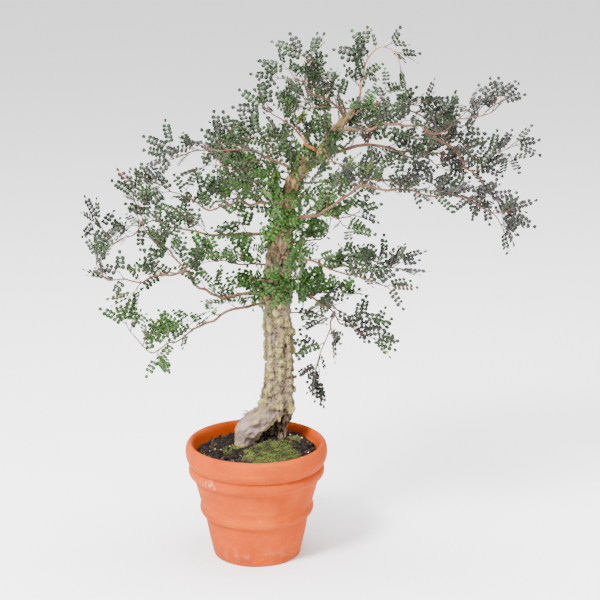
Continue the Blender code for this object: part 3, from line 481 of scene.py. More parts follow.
def bark_material():
    """Grey-beige bark: olive-yellow on the raised warts, pinkish grey on the flats, and painted shade in the
    cracks.
    """
    material, tree, shader = make_material("bark", 0.85, 0.3)
    place = object_place(tree)
    split = node(tree, "ShaderNodeSeparateColor", {"Color": stored_colour(tree, "relief")})
    raised, upper, smooth = (split.outputs[name] for name in ("Red", "Green", "Blue"))
    fine = noise_node(tree, 260, 6, 0.65, place)
    broad = noise_node(tree, 60, 4, 0.6, object_place(tree, (1, 1, 0.45)))
    unevenness = math_node(tree, "MULTIPLY", math_node(tree, "SUBTRACT", fine, 0.5), 0.8)
    grain = math_node(tree, "ADD", raised, unevenness)
    # The dark low end of this ramp is painted shade in the cracks and hollows between the warts.
    colour = ramp(
        tree, grain,
        (0.03, rgb(0.014, 0.008, 0.004)), (0.14, rgb(0.085, 0.055, 0.034)), (0.26, rgb(0.175, 0.128, 0.092)),
        (0.38, rgb(0.115, 0.088, 0.040)), (0.56, rgb(0.200, 0.163, 0.060)), (0.9, rgb(0.30, 0.255, 0.100)),
    )
    pink = between(tree, broad, 0.5, 0.64)
    colour = stain(tree, pink, 0.5, colour, rgb(0.215, 0.152, 0.125))
    orange_spots = between(tree, noise_node(tree, 75, 5, 0.7, place), 0.62, 0.74)
    colour = stain(tree, orange_spots, 0.5, colour, rgb(0.34, 0.14, 0.035))
    tan = ramp(
        tree, noise_node(tree, 150, 5, 0.65, object_place(tree, (1, 1, 0.3))),
        (0.3, rgb(0.075, 0.038, 0.018)), (0.45, rgb(0.20, 0.125, 0.052)), (0.6, rgb(0.29, 0.215, 0.092)),
        (0.75, rgb(0.26, 0.105, 0.034)),
    )
    colour = stain(tree, upper, 0.75, colour, tan)
    lobe = ramp(
        tree, noise_node(tree, 70, 5, 0.65, place),
        (0.3, rgb(0.12, 0.080, 0.067)), (0.5, rgb(0.235, 0.168, 0.145)), (0.72, rgb(0.32, 0.245, 0.21)),
    )
    lobe = mix(tree, between(tree, raised, 0.33, 0.47), lobe, rgb(0.29, 0.225, 0.085))
    lobe_stain = between(tree, noise_node(tree, 45, 4, 0.6, object_place(tree, (1, 1.3, 0.8))), 0.6, 0.72)
    lobe = stain(tree, lobe_stain, 0.5, lobe, rgb(0.34, 0.16, 0.06))
    pits = between(tree, noise_node(tree, 210, 2, 0.5, place), 0.69, 0.75)
    lobe = mix(tree, pits, lobe, rgb(0.05, 0.03, 0.03))
    colour = mix(tree, smooth, colour, lobe)
    tree.links.new(colour, shader.inputs["Base Color"])
    under = bump(tree, shader, noise_node(tree, 220, 5, 0.65, object_place(tree, (1, 1, 0.4))), 0.7, 1.1 * MM)
    bump(tree, shader, noise_node(tree, 1100, 4, 0.6, place), 0.4, 0.3 * MM, under)
    return material


def wood_material():
    """Thin reddish-brown bark of limbs and twigs, with lengthways cracks and pale dots."""
    material, tree, shader = make_material("twig_bark", 0.7, 0.35)
    place = object_place(tree)
    tint = stored_colour(tree, "tint")
    grain = ramp(
        tree, noise_node(tree, 420, 5, 0.65, place),
        (0.28, rgb(0.45, 0.42, 0.42)), (0.5, grey(0.95)), (0.72, rgb(1.5, 1.45, 1.4)),
    )
    colour = mix(tree, 1.0, tint, grain, "MULTIPLY")
    dots = between(tree, noise_node(tree, 800, 1, 0.5, place), 0.68, 0.76)
    colour = stain(tree, dots, 0.6, colour, rgb(0.55, 0.46, 0.36))
    tree.links.new(colour, shader.inputs["Base Color"])
    bump(tree, shader, noise_node(tree, 600, 5, 0.6, place), 0.6, 0.35 * MM)
    return material


def floor_material():
    material, tree, shader = make_material("studio_floor", 0.9, 0.1)
    shade = noise_node(tree, 3, 2, 0.5, object_place(tree))
    colour = ramp(tree, shade, (0.3, rgb(0.93, 0.93, 0.925)), (0.7, rgb(0.95, 0.95, 0.945)))
    tree.links.new(colour, shader.inputs["Base Color"])
    return material


# --- mesh building ---


def new_object(name, data):
    made = bpy.data.objects.new(name, data)
    bpy.context.scene.collection.objects.link(made)
    return made


def mesh_from(bm, name):
    """A mesh with the bmesh's shape. The bmesh is freed."""
    mesh = bpy.data.meshes.new(name)
    bm.to_mesh(mesh)
    bm.free()
    return mesh


def limited(value):
    """The value, or 0 or 1 where it's outside them."""
    return min(1, max(0, value))


class Builder:
    """Collects vertices in metres, faces, and a tint for each vertex, and makes one mesh object of them."""

    def __init__(self):
        self.blocks = []
        self.tints = []
        self.faces = []
        self.count = 0

    def add(self, points, faces, tint):
        """tint is one colour, or one for each point."""
        points = np.asarray(points, np.float64)
        self.blocks.append(points)
        self.tints.append(np.broadcast_to(np.asarray(tint, np.float32), (len(points), 3)))
        self.faces.extend([tuple(index + self.count for index in face) for face in faces])
        self.count += len(points)

    def build(self, name, material, tint_name="tint"):
        mesh = bpy.data.meshes.new(name)
        mesh.from_pydata(np.concatenate(self.blocks).tolist(), [], self.faces)
        add_tint(mesh, np.concatenate(self.tints), tint_name)
        mesh.materials.append(material)
        mesh.shade_smooth()
        return new_object(name, mesh)


def add_tint(mesh, colours, name):
    """Stores one linear colour a vertex."""
    attribute = mesh.color_attributes.new(name, "FLOAT_COLOR", "POINT")
    values = np.ones((len(mesh.vertices), 4), np.float32)
    values[:, :3] = colours
    attribute.data.foreach_set("color", values.ravel())


def handed_over(piece, slot_name, *nodes):
    """The finished piece rides on the only body and stands for its CAD nodes."""
    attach(piece, "root")
    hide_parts(*nodes)


def smooth_route(points, step):
    """Samples of a Catmull-Rom curve through the points, about a step apart, and their places among them."""
    ends = [2 * points[0] - points[1]] + list(points) + [2 * points[-1] - points[-2]]
    samples, places = [], []
    for i in range(1, len(ends) - 2):
        a, b, c, d = ends[i - 1 : i + 3]
        pieces = max(1, round((c - b).length / step))
        for k in range(pieces):
            t = k / pieces
            spot = 2 * b + (c - a) * t + (2 * a - 5 * b + 4 * c - d) * t**2
            spot += (3 * b - a - 3 * c + d) * t**3
            samples.append(spot / 2)
            places.append(i - 1 + t)
    samples.append(points[-1].copy())
    places.append(len(points) - 1)
    return samples, places


def tube_mesh(points, radii, sides, wobble=None):
    """The vertices and faces of a closed tube through the points. wobble(ring, side) scales a radius."""
    count = len(points)
    tangents = []
    for i in range(count):
        tangents.append((points[min(i + 1, count - 1)] - points[max(i - 1, 0)]).normalized())
    side = tangents[0].orthogonal().normalized()
    rings = []
    for i in range(count):
        side = (side - tangents[i] * side.dot(tangents[i])).normalized()
        across = tangents[i].cross(side)
        for k in range(sides):
            angle = math.tau * k / sides
            radius = radii[i] * (wobble(i, k) if wobble else 1)
            rings.append(points[i] + (side * math.cos(angle) + across * math.sin(angle)) * radius)
    rings.append(points[0] - tangents[0] * radii[0] * 0.5)
    rings.append(points[-1] + tangents[-1] * radii[-1] * 0.8)
    faces = []
    for i in range(count - 1):
        for k in range(sides):
            j = (k + 1) % sides
            faces.append((i * sides + k, i * sides + j, (i + 1) * sides + j, (i + 1) * sides + k))
    last = (count - 1) * sides
    for k in range(sides):
        j = (k + 1) % sides
        faces.append((count * sides, j, k))
        faces.append((count * sides + 1, last + k, last + j))
    return rings, faces


def band_faces(rings, steps):
    """The quads between neighbouring rings, when each ring has steps points."""
    faces = []
    for j in range(rings):
        for i in range(steps):
            k = (i + 1) % steps
            faces.append((j * steps + i, (j + 1) * steps + i, (j + 1) * steps + k, j * steps + k))
    return faces


# --- leaves ---


def leaflet_template():
    """One obovate leaflet of length 1 along X, folded a little along its midrib, as a thin closed solid."""
    stations = ((0.09, 0.17), (0.34, 0.36), (0.64, 0.45), (0.88, 0.30))
    points = [(0, 0, 0)]
    for x, half in stations:
        lift = 0.13 * half - 0.16 * x * x
        valley = -0.16 * x * x - 0.03
        points += [(x, half, lift), (x, 0, valley + 0.03), (x, -half, lift), (x, 0, valley - 0.03)]
    points.append((1.0, 0, -0.17))
    faces = []
    for k in range(len(stations) - 1):
        left, top, right, under = (1 + 4 * k + n for n in range(4))
        faces += [(left, top, top + 4, left + 4), (top, right, right + 4, top + 4)]
        faces += [(right, under, under + 4, right + 4), (under, left, left + 4, under + 4)]
    tip = len(points) - 1
    faces += [(0, 1 + n, 1 + (n + 1) % 4) for n in range(4)]
    faces += [(tip, tip - 4 + (n + 1) % 4, tip - 4 + n) for n in range(4)]
    return np.array(points), [tuple(reversed(face)) for face in faces]


class Foliage:
    """Collects leaflets as frames, and the thin rachis of each leaf."""

    def __init__(self):
        self.origins = []
        self.axes = []
        self.colours = []
        self.stems = Builder()

    def leaflet(self, origin, along, normal, length, width, colour):
        across = normal.cross(along).normalized()
        up = along.cross(across).normalized()
        self.origins.append(origin)
        self.axes.append((along * length, across * width, up * length))
        self.colours.append(colour)

    def build(self, name, material):
        template, faces = LEAFLET
        origins = np.array(self.origins)
        axes = np.array(self.axes)
        points = origins[:, None, :] + np.einsum("vk,nkc->nvc", template, axes)
        builder = Builder()
        shade = 1 - 0.18 * np.abs(template[:, 1:2]) + 0.1 * (template[:, 0:1] - 0.5)
        for spots, colour in zip(points, self.colours):
            builder.add(spots, faces, np.array(colour) * shade)
        return builder.build(name, material)


LEAFLET = leaflet_template()
LEAFLET_LENGTH = (5.2, 6.3)  # mm
PAIR_SPACING = (5.3, 6.4)  # mm
PAIR_CHOICE = (3, 3, 4, 5)
STEM_RADII = [0.00056 - 0.00005 * k for k in range(7)]  # m, from a leaf's base to its tip
DARK_STEM = (0.062, 0.026, 0.018)
GREEN_STEM = (0.060, 0.055, 0.018)
YELLOW_LEAF = (0.085, 0.125, 0.012)
RED_LEAF = (0.060, 0.022, 0.015)
# Leaf colours by tone
GREENS = (
    (0.0, (0.029, 0.100, 0.005)),
    (0.25, (0.024, 0.070, 0.006)),
    (0.5, (0.019, 0.046, 0.009)),
    (0.75, (0.014, 0.028, 0.011)),
    (1.0, (0.016, 0.017, 0.016)),
)


def leaf_colour(tone, rng):
    """The linear colour of a leaf by its tone, with a few odd ones: yellow-green or red-brown."""
    odd = rng.random()
    if odd < 0.02:
        return YELLOW_LEAF
    if odd < 0.04 and tone > 0.5:
        return RED_LEAF
    tone = limited(tone + rng.gauss(0, 0.13))
    places = [place for place, _ in GREENS]
    return tuple(np.interp(tone, places, [colour[i] for _, colour in GREENS]) for i in range(3))


def add_leaf(foliage, base, along, normal, pairs, tone, rng):
    """One pinnate leaf: a curved rachis with pairs of leaflets and one at its tip."""
    normal = (normal - along * normal.dot(along)).normalized()
    side = normal.cross(along)
    length = (pairs * rng.uniform(*PAIR_SPACING) + 5) * MM
    curl = rng.uniform(-0.04, 0.12) * length
    sway = rng.gauss(0, 0.10) * length
    colour = leaf_colour(tone, rng)

    def place(t):
        return base + along * length * t + (side * sway - normal * curl - UP * 0.07 * length) * t * t

    points, faces = tube_mesh([place(k / 6) for k in range(7)], STEM_RADII, 4)
    foliage.stems.add(points, faces, DARK_STEM if tone > 0.45 else GREEN_STEM)
    size = rng.uniform(*LEAFLET_LENGTH) * (1.10 if tone < 0.2 else 1.0) * MM
    for k in range(pairs + 1):
        last = k == pairs
        t = 1.0 if last else 0.24 + 0.72 * k / pairs
        spot = place(t)
        heading = (place(t) - place(t - 0.1)).normalized()
        grow = 0.78 + 0.24 * math.sin(math.pi * (0.15 + 0.7 * t))
        for way in (1,) if last else (1, -1):
            spread = rng.gauss(0, 8) if last else rng.uniform(50, 66)
            angle = math.radians(spread)
            out = heading * math.cos(angle) + side * way * math.sin(angle)
            fold = rng.uniform(-0.05, 0.35)
            up = (normal - side * way * fold + heading * rng.gauss(0, 0.15)).normalized()
            long = size * grow * rng.uniform(0.9, 1.08)
            jitter = rng.uniform(0.82, 1.22)
            shade = tuple(channel * jitter for channel in colour)
            foliage.leaflet(spot + out * 0.4 * MM, out, up, long, long * rng.uniform(0.92, 1.08), shade)


# --- branches ---


def trunk_axis_at(z):
    """The trunk's axis at a height, in metres."""
    heights = [row[2] * CM for row in TRUNK]
    return Vector(np.interp(z, heights, [row[i] * CM for row in TRUNK]) for i in range(2)).to_3d() + UP * z


def trunk_axis_by(spot):
    """The point of the trunk's axis as high as the spot, or its top."""
    return trunk_axis_at(min(spot.z, TRUNK_TOP_Z))


def tone_at(name, spot):
    """Leaves are bright near the trunk and dark farther out and at the top, most of all at the right."""
    if name in TONE:
        return TONE[name]
    away = (spot - trunk_axis_by(spot)).length / 0.17
    reach = 0.74 if spot.x > 0.12 else 0.52
    high = limited((spot.z / CM - 43) / 12)
    return min(0.95, 0.12 + 0.32 * high + reach * (1 - 0.3 * high) * away**0.9)


def wood_colour(radius_mm):
    """Thick wood is tan, thin twigs are reddish brown."""
    share = limited((radius_mm - 0.8) / 2.6)
    return tuple(thin + (thick - thin) * share for thin, thick in zip(THIN_WOOD, THICK_WOOD))


def zigzag(points, amount, rng):
    """Moves each inner point sideways, one way and then the other."""
    bent = [points[0].copy()]
    for i in range(1, len(points) - 1):
        heading = (points[i + 1] - points[i - 1]).normalized()
        side = heading.cross(UP)
        side = side.normalized() if side.length > 0.2 else Vector((1, 0, 0))
        lift = side.cross(heading)
        way = 1 if i % 2 else -1
        push = side * way * rng.uniform(0.4, 1.0) + lift * rng.uniform(-0.8, 0.8)
        bent.append(points[i] + push * amount)
    bent.append(points[-1].copy())
    return bent


def add_wood(builder, nodes, start_mm, end_mm, rng, sides, step=2.5 * MM, collar=0.0, paint=None):
    """A knobbly tube through the nodes, thicker at each node. A collar thickens its start."""
    samples, places = smooth_route(nodes, step)
    radii = []
    tints = []
    shift = rng.uniform(0, 50)
    for i, (sample, place) in enumerate(zip(samples, places)):
        share = place / (len(nodes) - 1)
        radius = start_mm + (end_mm - start_mm) * share**0.85
        near = abs(place - round(place))
        radius *= 1 + 0.16 * math.exp(-((near / 0.16) ** 2))
        radius *= 1 + 0.12 * noise.noise(sample * 260 + Vector((shift, 0, 0)))
        if collar:
            radius *= 1 + collar * math.exp(-i * step / (5 * MM))
        radii.append(radius * MM)
        tint = paint or wood_colour(radius)
        patch = 1 + 0.35 * noise.noise(sample * 90 + Vector((0, shift, 0)))
        tints += [tuple(channel * patch for channel in tint)] * sides

    def wobble(ring, k):
        direction = Vector((math.cos(k * math.tau / sides), math.sin(k * math.tau / sides), 0))
        return 1 + 0.13 * noise.noise(samples[ring] * 500 + direction * 0.9 + Vector((shift, 0, 0)))

    points, faces = tube_mesh(samples, radii, sides, wobble if sides > 5 else None)
    tints += [tints[0], tints[-1]]
    builder.add(points, faces, tints)


def rotated(direction, axis, degrees):
    return Matrix.Rotation(math.radians(degrees), 3, axis) @ direction


def tilted(normal, along, degrees, rng):
    """The normal of a spray's plane, tilted at random about the leaf's own axis."""
    return rotated(normal, along, rng.uniform(-degrees, degrees))


def upward_from(heading, rng):
    """A direction that leaves the heading at a slant, mostly upwards, and the normal to both."""
    side = heading.cross(UP)
    side = side.normalized() if side.length > 0.25 else Vector((1, 0, 0))
    lift = side.cross(heading).normalized()
    turn = rng.gauss(0, 38) if rng.random() < 0.78 else rng.uniform(60, 300)
    outward = rotated(lift, heading, turn)
    normal = heading.cross(outward).normalized()
    return rotated(heading, normal, rng.uniform(38, 68)), normal


def add_twiglet(name, foliage, wood, base, heading, plane, length, radius_mm, rng):
    """A short side twig with a leaf at each bend, on alternate sides, and two at its tip."""
    count = max(1, round(length / (8.5 * MM)))
    points = [base.copy()]
    direction = heading.copy()
    for k in range(count):
        bend = 14 if k % 2 else -14
        direction = rotated(direction, plane, bend + rng.gauss(0, 7))
        direction = (direction + UP * 0.05 + plane * rng.gauss(0, 0.1)).normalized()
        points.append(points[-1] + direction * length / count)
    add_wood(wood, points, radius_mm, 0.42, rng, 5, 3 * MM)
    for k in range(1, len(points)):
        tone = tone_at(name, points[k])
        ahead = (points[k] - points[k - 1]).normalized()
        if k < len(points) - 1:
            turns = (rng.uniform(38, 62) * (1 if k % 2 else -1),)
        else:
            turns = (rng.uniform(14, 40), rng.uniform(-40, -14))
        for turn in turns:
            along = rotated(ahead, plane, turn)
            face = tilted(plane, along, 38, rng)
            add_leaf(foliage, points[k], along, face, rng.choice(PAIR_CHOICE), tone, rng)


def add_branch(name, wood_parts, foliage):
    """Grows one branch along its route: a zig-zag axis, side twigs and leaves."""
    rng = random.Random(name)
    parent, start_mm, bare, table = BRANCHES[name]
    points = [Vector(row) * CM for row in table]
    nodes, _ = smooth_route(points, 10 * MM)
    nodes = zigzag(nodes, 1.4 * MM, rng)
    total = len(nodes) - 1
    cut = round((bare - 1) / (len(points) - 1) * total) if bare else 0
    paint = BRANCH_PAINT.get(name)
    radius = start_mm * (0.66 if parent == "trunk" else 0.85)
    collar = 0.75 if parent == "trunk" else 0.4
    limb, twigs = wood_parts
    if cut:
        cut_radius = TIP_RADIUS + (radius - TIP_RADIUS) * (1 - (cut / total) ** 0.8)
        add_wood(limb, nodes[: cut + 1], radius, cut_radius, rng, 10, 2 * MM, collar, paint)
        add_wood(twigs, nodes[cut:], cut_radius, TIP_RADIUS, rng, 8)
    else:
        add_wood(twigs, nodes, radius, TIP_RADIUS, rng, 8, 2.5 * MM, collar, paint)
    twiglets_due = rng.random()
    leaves_due = rng.random()
    fullness = FULLNESS.get(name, 1)
    for i in range(1, total):
        heading = (nodes[i + 1] - nodes[i - 1]).normalized()
        if (nodes[i] - trunk_axis_by(nodes[i])).length < 20 * MM:
            continue
        leafy = i > cut
        tone = tone_at(name, nodes[i])
        twiglets_due += fullness * (0.56 if leafy else 0.5) * rng.uniform(0.6, 1.4)
        leaves_due += fullness * (0.62 if leafy else 0.3) * rng.uniform(0.6, 1.4)
        if twiglets_due >= 1:
            twiglets_due -= 1
            direction, plane = upward_from(heading, rng)
            length = rng.uniform(10, 32) * (1.2 - 0.65 * i / total) * MM
            add_twiglet(name, foliage, twigs, nodes[i], direction, plane, length, 0.75, rng)
        if leaves_due >= 1:
            leaves_due -= 1
            along, plane = upward_from(heading, rng)
            face = tilted(plane, along, 40, rng)
            add_leaf(foliage, nodes[i], along, face, rng.choice(PAIR_CHOICE), tone, rng)
    heading = (nodes[-1] - nodes[-2]).normalized()
    _, plane = upward_from(heading, rng)
    for turn in (-34, 4, 38):
        along = rotated(heading, plane, turn + rng.uniform(-8, 8))
        face = tilted(plane, along, 30, rng)
        add_leaf(foliage, nodes[-1], along, face, rng.choice((4, 4, 5)), tone_at(name, nodes[-1]), rng)


def scatter(rng, x, y, z):
    """A random step, normally distributed with these widths."""
    return Vector((rng.gauss(0, x), rng.gauss(0, y), rng.gauss(0, z)))


def add_spurs(wood, leaf, stem):
    """Tufts of bright leaves on short twigs straight from the trunk."""
    rng = random.Random("spurs")
    twigs = Builder()
    foliage = Foliage()
    for (x, y, z), count in SPURS:
        centre = Vector((x, y, z)) * CM
        axis = trunk_axis_by(centre)
        outward = (centre - axis).normalized()
        start = axis + outward * 7 * MM
        bend = (start + centre) / 2 + Vector((rng.gauss(0, 1.5), rng.gauss(0, 1.5), 2)) * MM
        add_wood(twigs, [start, bend, centre], 1.1, 0.6, rng, 6, 2.5 * MM)
        for k in range(count):
            fan = Vector((rng.gauss(0, 1), rng.gauss(0, 1), rng.gauss(0.15, 0.8))).normalized()
            along = (fan - outward * (fan.dot(outward) * 0.75) + outward * 0.25).normalized()
            face = (outward + UP * 0.3 + scatter(rng, 0.3, 0.3, 0.3)).normalized()
            base = centre + scatter(rng, 3.5, 2.5, 3.5) * MM - outward * 2 * MM
            tone = max(0.0, rng.gauss(0.1, 0.12)) + (0.2 if z > 50 else 0)
            add_leaf(foliage, base, along, face, rng.choice((3, 3, 4)), tone, rng)
    handed_over(twigs.build("twigs_spurs", wood), "twig", "shoot_front_low")
    handed_over(foliage.build("leaves_spurs", leaf), "leaf", "shoot_front_low")
    handed_over(foliage.stems.build("leaf_stems_spurs", stem), "leaf", "shoot_front_low")


def add_branches(wood, leaf, stem):
    for name, (_, _, bare, _) in BRANCHES.items():
        parts = (Builder(), Builder())
        foliage = Foliage()
        add_branch(name, parts, foliage)
        if bare:
            handed_over(parts[0].build(f"wood_{name}", wood), "twig", f"limb_{name}")
        handed_over(parts[1].build(f"twigs_{name}", wood), "twig", f"shoot_{name}")
        handed_over(foliage.build(f"leaves_{name}", leaf), "leaf", f"shoot_{name}")
        handed_over(foliage.stems.build(f"leaf_stems_{name}", stem), "leaf", f"shoot_{name}")


# --- trunk ---


# Tubes as (x, y, z, radius) in cm. The trunk runs out into a smooth lobe at the left and a narrow leg at the
# right, with a lip between them and a root behind.
TRUNK_SHAPE = (
    (3.1, 3.2, 17.6, 1.15),
    (2.75, 3.1, 18.6, 1.7),
    (2.65, 3.0, 20.0, 1.8),
    (2.85, 2.8, 21.5, 1.58),
    (2.9, 2.4, 25.0, 1.52),
    (2.9, 2.0, 28.0, 1.5),
    (2.7, 1.6, 31.0, 1.46),
    *TRUNK[7:],
)
ROOT_LOBE_SHAPE = (
    (2.2, 2.4, 18.9, 1.2),
    (1.3, 1.9, 18.0, 1.2),
    (0.3, 1.8, 17.2, 1.35),
    (-0.7, 1.9, 16.2, 1.5),
    (-1.3, 2.1, 15.1, 1.45),
    (-1.5, 2.2, 13.8, 1.15),
    (-1.5, 2.2, 12.6, 1.0),
)
ROOT_LEG_SHAPE = (
    (3.7, 3.1, 18.6, 1.1),
    (3.55, 3.2, 17.2, 0.95),
    (3.25, 3.2, 16.0, 0.68),
    (3.1, 3.2, 14.8, 0.7),
    (3.1, 3.2, 13.0, 0.8),
)
ROOT_LIP_SHAPE = (
    (0.9, 1.7, 17.3, 0.9),
    (1.5, 1.5, 17.6, 0.8),
    (1.95, 1.6, 17.7, 0.5),
)
ROOT_BACK_SHAPE = (
    (2.4, 3.4, 18.4, 1.3),
    (2.3, 4.2, 16.6, 1.35),
    (2.2, 4.6, 14.8, 1.5),
    (2.2, 4.6, 13.0, 1.5),
)
TRUNK_TABLES = (TRUNK_SHAPE, ROOT_LOBE_SHAPE, ROOT_LEG_SHAPE, ROOT_LIP_SHAPE, ROOT_BACK_SHAPE)
SMOOTH_TUBES = (1, 3)  # the lobe and the lip
BACK_ROOT = 4
WART_COLUMNS = 8
WARTS_TOP_Z = 35.5  # cm
# Big knobs low on the trunk: place in cm, radii outward, across and along in mm
KNOBS = (
    ((4.3, 2.2, 18.5), (6.5, 6.5, 7.5)),
    ((1.9, 1.2, 18.9), (3.5, 5.0, 4.5)),
    ((0.7, 2.0, 19.3), (4.5, 5.0, 5.5)),
    ((2.9, 1.5, 17.4), (3.0, 3.0, 5.0)),
    ((4.3, 4.2, 18.6), (5.5, 6.0, 7.0)),
)
# Ridges of the lobe: the side they run down in degrees from the front, and their height in mm
LOBE_RIDGES = ((-72, 3.0), (-44, 1.9), (16, 2.9), (58, 1.8), (105, 2.8), (180, 2.6), (240, 2.8))


def dense_table(table, step_mm):
    """Centres and radii in metres along a (x, y, z, radius) table."""
    points = [Vector(row[:3]) * CM for row in table]
    samples, places = smooth_route(points, step_mm * MM)
    radii = np.interp(places, range(len(table)), [row[3] * CM for row in table])
    return samples, list(radii)


def add_blob(bm, centre, outward, along, sizes, rng, rough=0.4):
    """A lumpy squashed ball: sizes are its radii outward, across and along."""
    outward = (outward - along * outward.dot(along)).normalized()
    across = along.cross(outward)
    shift = Vector((rng.uniform(0, 99), rng.uniform(0, 99), rng.uniform(0, 99)))
    for vert in bmesh.ops.create_icosphere(bm, subdivisions=3, radius=1)["verts"]:
        unit = vert.co.copy()
        scale = 1 + rough * noise.noise(unit * 1.3 + shift) + 0.5 * rough * noise.noise(unit * 3 + shift)
        spot = unit * scale
        vert.co = centre + outward * spot.x * sizes[0] + across * spot.y * sizes[1]
        vert.co += along * spot.z * sizes[2]


def add_warts(bm, rng):
    """Columns of upright lumpy warts and long plates on the lower trunk, and low ridges above them."""
    samples, radii = dense_table(TRUNK_SHAPE, 1)
    for column in range(WART_COLUMNS):
        turn = math.tau * column / WART_COLUMNS + rng.uniform(-0.1, 0.1)
        i = rng.randint(2, 9)
        while i < len(samples) - 12:
            z = samples[i].z / CM
            along = (samples[i + 1] - samples[i - 1]).normalized()
            first = (Vector((1, 0, 0)) - along * along.x).normalized()
            second = along.cross(first)
            angle = turn + rng.gauss(0, 0.10)
            outward = first * math.cos(angle) + second * math.sin(angle)
            if z < WARTS_TOP_Z and rng.random() < 0.74:
                size = (rng.uniform(4.6, 6.4), rng.uniform(4.2, 6.0), rng.uniform(5.0, 7.8))
                sink = rng.uniform(-0.8, 1.2)
            elif z < WARTS_TOP_Z:
                size = (rng.uniform(3.8, 4.8), rng.uniform(3.6, 5.2), rng.uniform(8, 13))
                sink = rng.uniform(0.0, 0.8)
            else:
                shrink = min(1.0, radii[i] / (12 * MM))
                size = (rng.uniform(2.0, 3.0), rng.uniform(1.8, 3.2), rng.uniform(9, 17))
                size = [value * shrink for value in size]
                sink = 0.7
            centre = samples[i] + outward * (radii[i] - sink * MM)
            add_blob(bm, centre, outward, along, [value * MM for value in size], rng)
            i += max(4, round(size[2] * rng.uniform(1.45, 1.85)))
    for (x, y, z), size in KNOBS:
        centre = Vector((x, y, z)) * CM
        outward = centre - trunk_axis_at(z * CM)
        outward.z = 0
        add_blob(bm, centre, outward.normalized(), UP, [value * MM for value in size], rng)


def add_lobe_ridges(bm, rng):
    """Soft ridges down the smooth root lobe."""
    samples, radii = dense_table(ROOT_LOBE_SHAPE, 1)
    for turn, height in LOBE_RIDGES:
        for i in range(4, len(samples) - 8, 3):
            along = (samples[i + 1] - samples[i - 1]).normalized()
            front = Vector((0, -1, 0))
            front = (front - along * front.dot(along)).normalized()
            side = along.cross(front)
            angle = math.radians(turn + 10 * math.sin(i * 0.18))
            outward = front * math.cos(angle) + side * math.sin(angle)
            centre = samples[i] + outward * (radii[i] - 0.5 * MM)
            add_blob(bm, centre, outward, along, (height * MM, 2.6 * MM, 5 * MM), rng, 0.3)


def tube_into(bm, table, sides):
    samples, radii = dense_table(table, 4)
    points, faces = tube_mesh(samples, radii, sides)
    made = [bm.verts.new(point) for point in points]
    for face in faces:
        bm.faces.new([made[index] for index in face])


def height_over(tables, spots):
    """How far each spot lies above the nearest bare surface of the tubes, and which tube it is, in metres."""
    best = np.full(len(spots), 9.0)
    which = np.zeros(len(spots), int)
    for number, table in enumerate(tables):
        samples, radii = dense_table(table, 1.5)
        centres = np.array(samples)
        sizes = np.array(radii)
        for start in range(0, len(spots), 4000):
            part = spots[start : start + 4000]
            distance = np.linalg.norm(part[:, None, :] - centres[None], axis=2) - sizes[None]
            low = distance.min(1)
            closer = low < best[start : start + 4000]
            which[start : start + 4000][closer] = number
            best[start : start + 4000] = np.minimum(best[start : start + 4000], low)
    return best, which


def add_trunk(material):
    """The tubes, warts and ridges as one fused skin, with bark relief pushed into it."""
    rng = random.Random("trunk")
    bm = bmesh.new()
    for table in TRUNK_TABLES:
        tube_into(bm, table, 40)
    add_warts(bm, rng)
    add_lobe_ridges(bm, rng)
    trunk = new_object("trunk_bark", mesh_from(bm, "trunk_bark"))
    remesh = trunk.modifiers.new("remesh", "REMESH")
    remesh.mode = "VOXEL"
    remesh.voxel_size = 0.9 * MM
    remesh.use_smooth_shade = True
    soften = trunk.modifiers.new("soften", "SMOOTH")
    soften.iterations = 2
    soften.factor = 0.5
    graph = bpy.context.evaluated_depsgraph_get()
    fine = bpy.data.meshes.new_from_object(trunk.evaluated_get(graph))
    trunk.modifiers.clear()
    trunk.data = fine
    roughen_trunk(fine)
    fine.materials.append(material)
    fine.shade_smooth()
    handed_over(trunk, "bark", "trunk")


def roughen_trunk(mesh):
    """Pushes the surface in and out by lengthways cracks and grain, and stores the relief, which also lays
    painted shade in the cracks.
    """
    count = len(mesh.vertices)
    spots = np.zeros(count * 3)
    normals = np.zeros(count * 3)
    mesh.vertices.foreach_get("co", spots)
    mesh.vertices.foreach_get("normal", normals)
    spots = spots.reshape(-1, 3)
    normals = normals.reshape(-1, 3)
    height, which = height_over(TRUNK_TABLES, spots)
    relief = np.zeros((count, 3), np.float32)
    push = np.zeros(count)
    for i in range(count):
        spot = Vector(spots[i])
        lobe = 1.0 if which[i] in SMOOTH_TUBES else 0.0
        crack = abs(noise.noise(Vector((spot.x * 150, spot.y * 150, spot.z * 38))))
        grain = noise.fractal(spot * 300, 0.9, 2.1, 3)
        lumps = noise.noise(Vector((spot.x * 230, spot.y * 230, spot.z * 120)))
        cut = -1.5 * math.exp(-((crack / 0.09) ** 2)) * (1 - 0.85 * lobe)
        knots = (noise.noise(spot * 90) + 0.5 * noise.noise(spot * 210)) * lobe
        push[i] = (cut + (1.1 * grain + 1.3 * lumps) * (1 - 0.62 * lobe) + 2.6 * knots) * MM
        # Low places take the dark end of the bark's ramp, which is painted shade in the cracks and hollows.
        raised = 0.22 + 0.105 * (height[i] + push[i] * 1.3) / MM
        # The root behind is darkened as painted shade, as it sits in the hollow behind the lobe and the leg.
        if which[i] == BACK_ROOT:
            raised *= 0.25
        upper = limited((spot.z / CM - 37) / 7)
        down = limited(1.6 - (spot.z / CM - 16.5) / 1.6)
        relief[i] = (limited(raised), upper, lobe * down)
    spots += normals * push[:, None]
    mesh.vertices.foreach_set("co", spots.ravel())
    mesh.update()
    add_tint(mesh, relief, "relief")


# --- pot ---


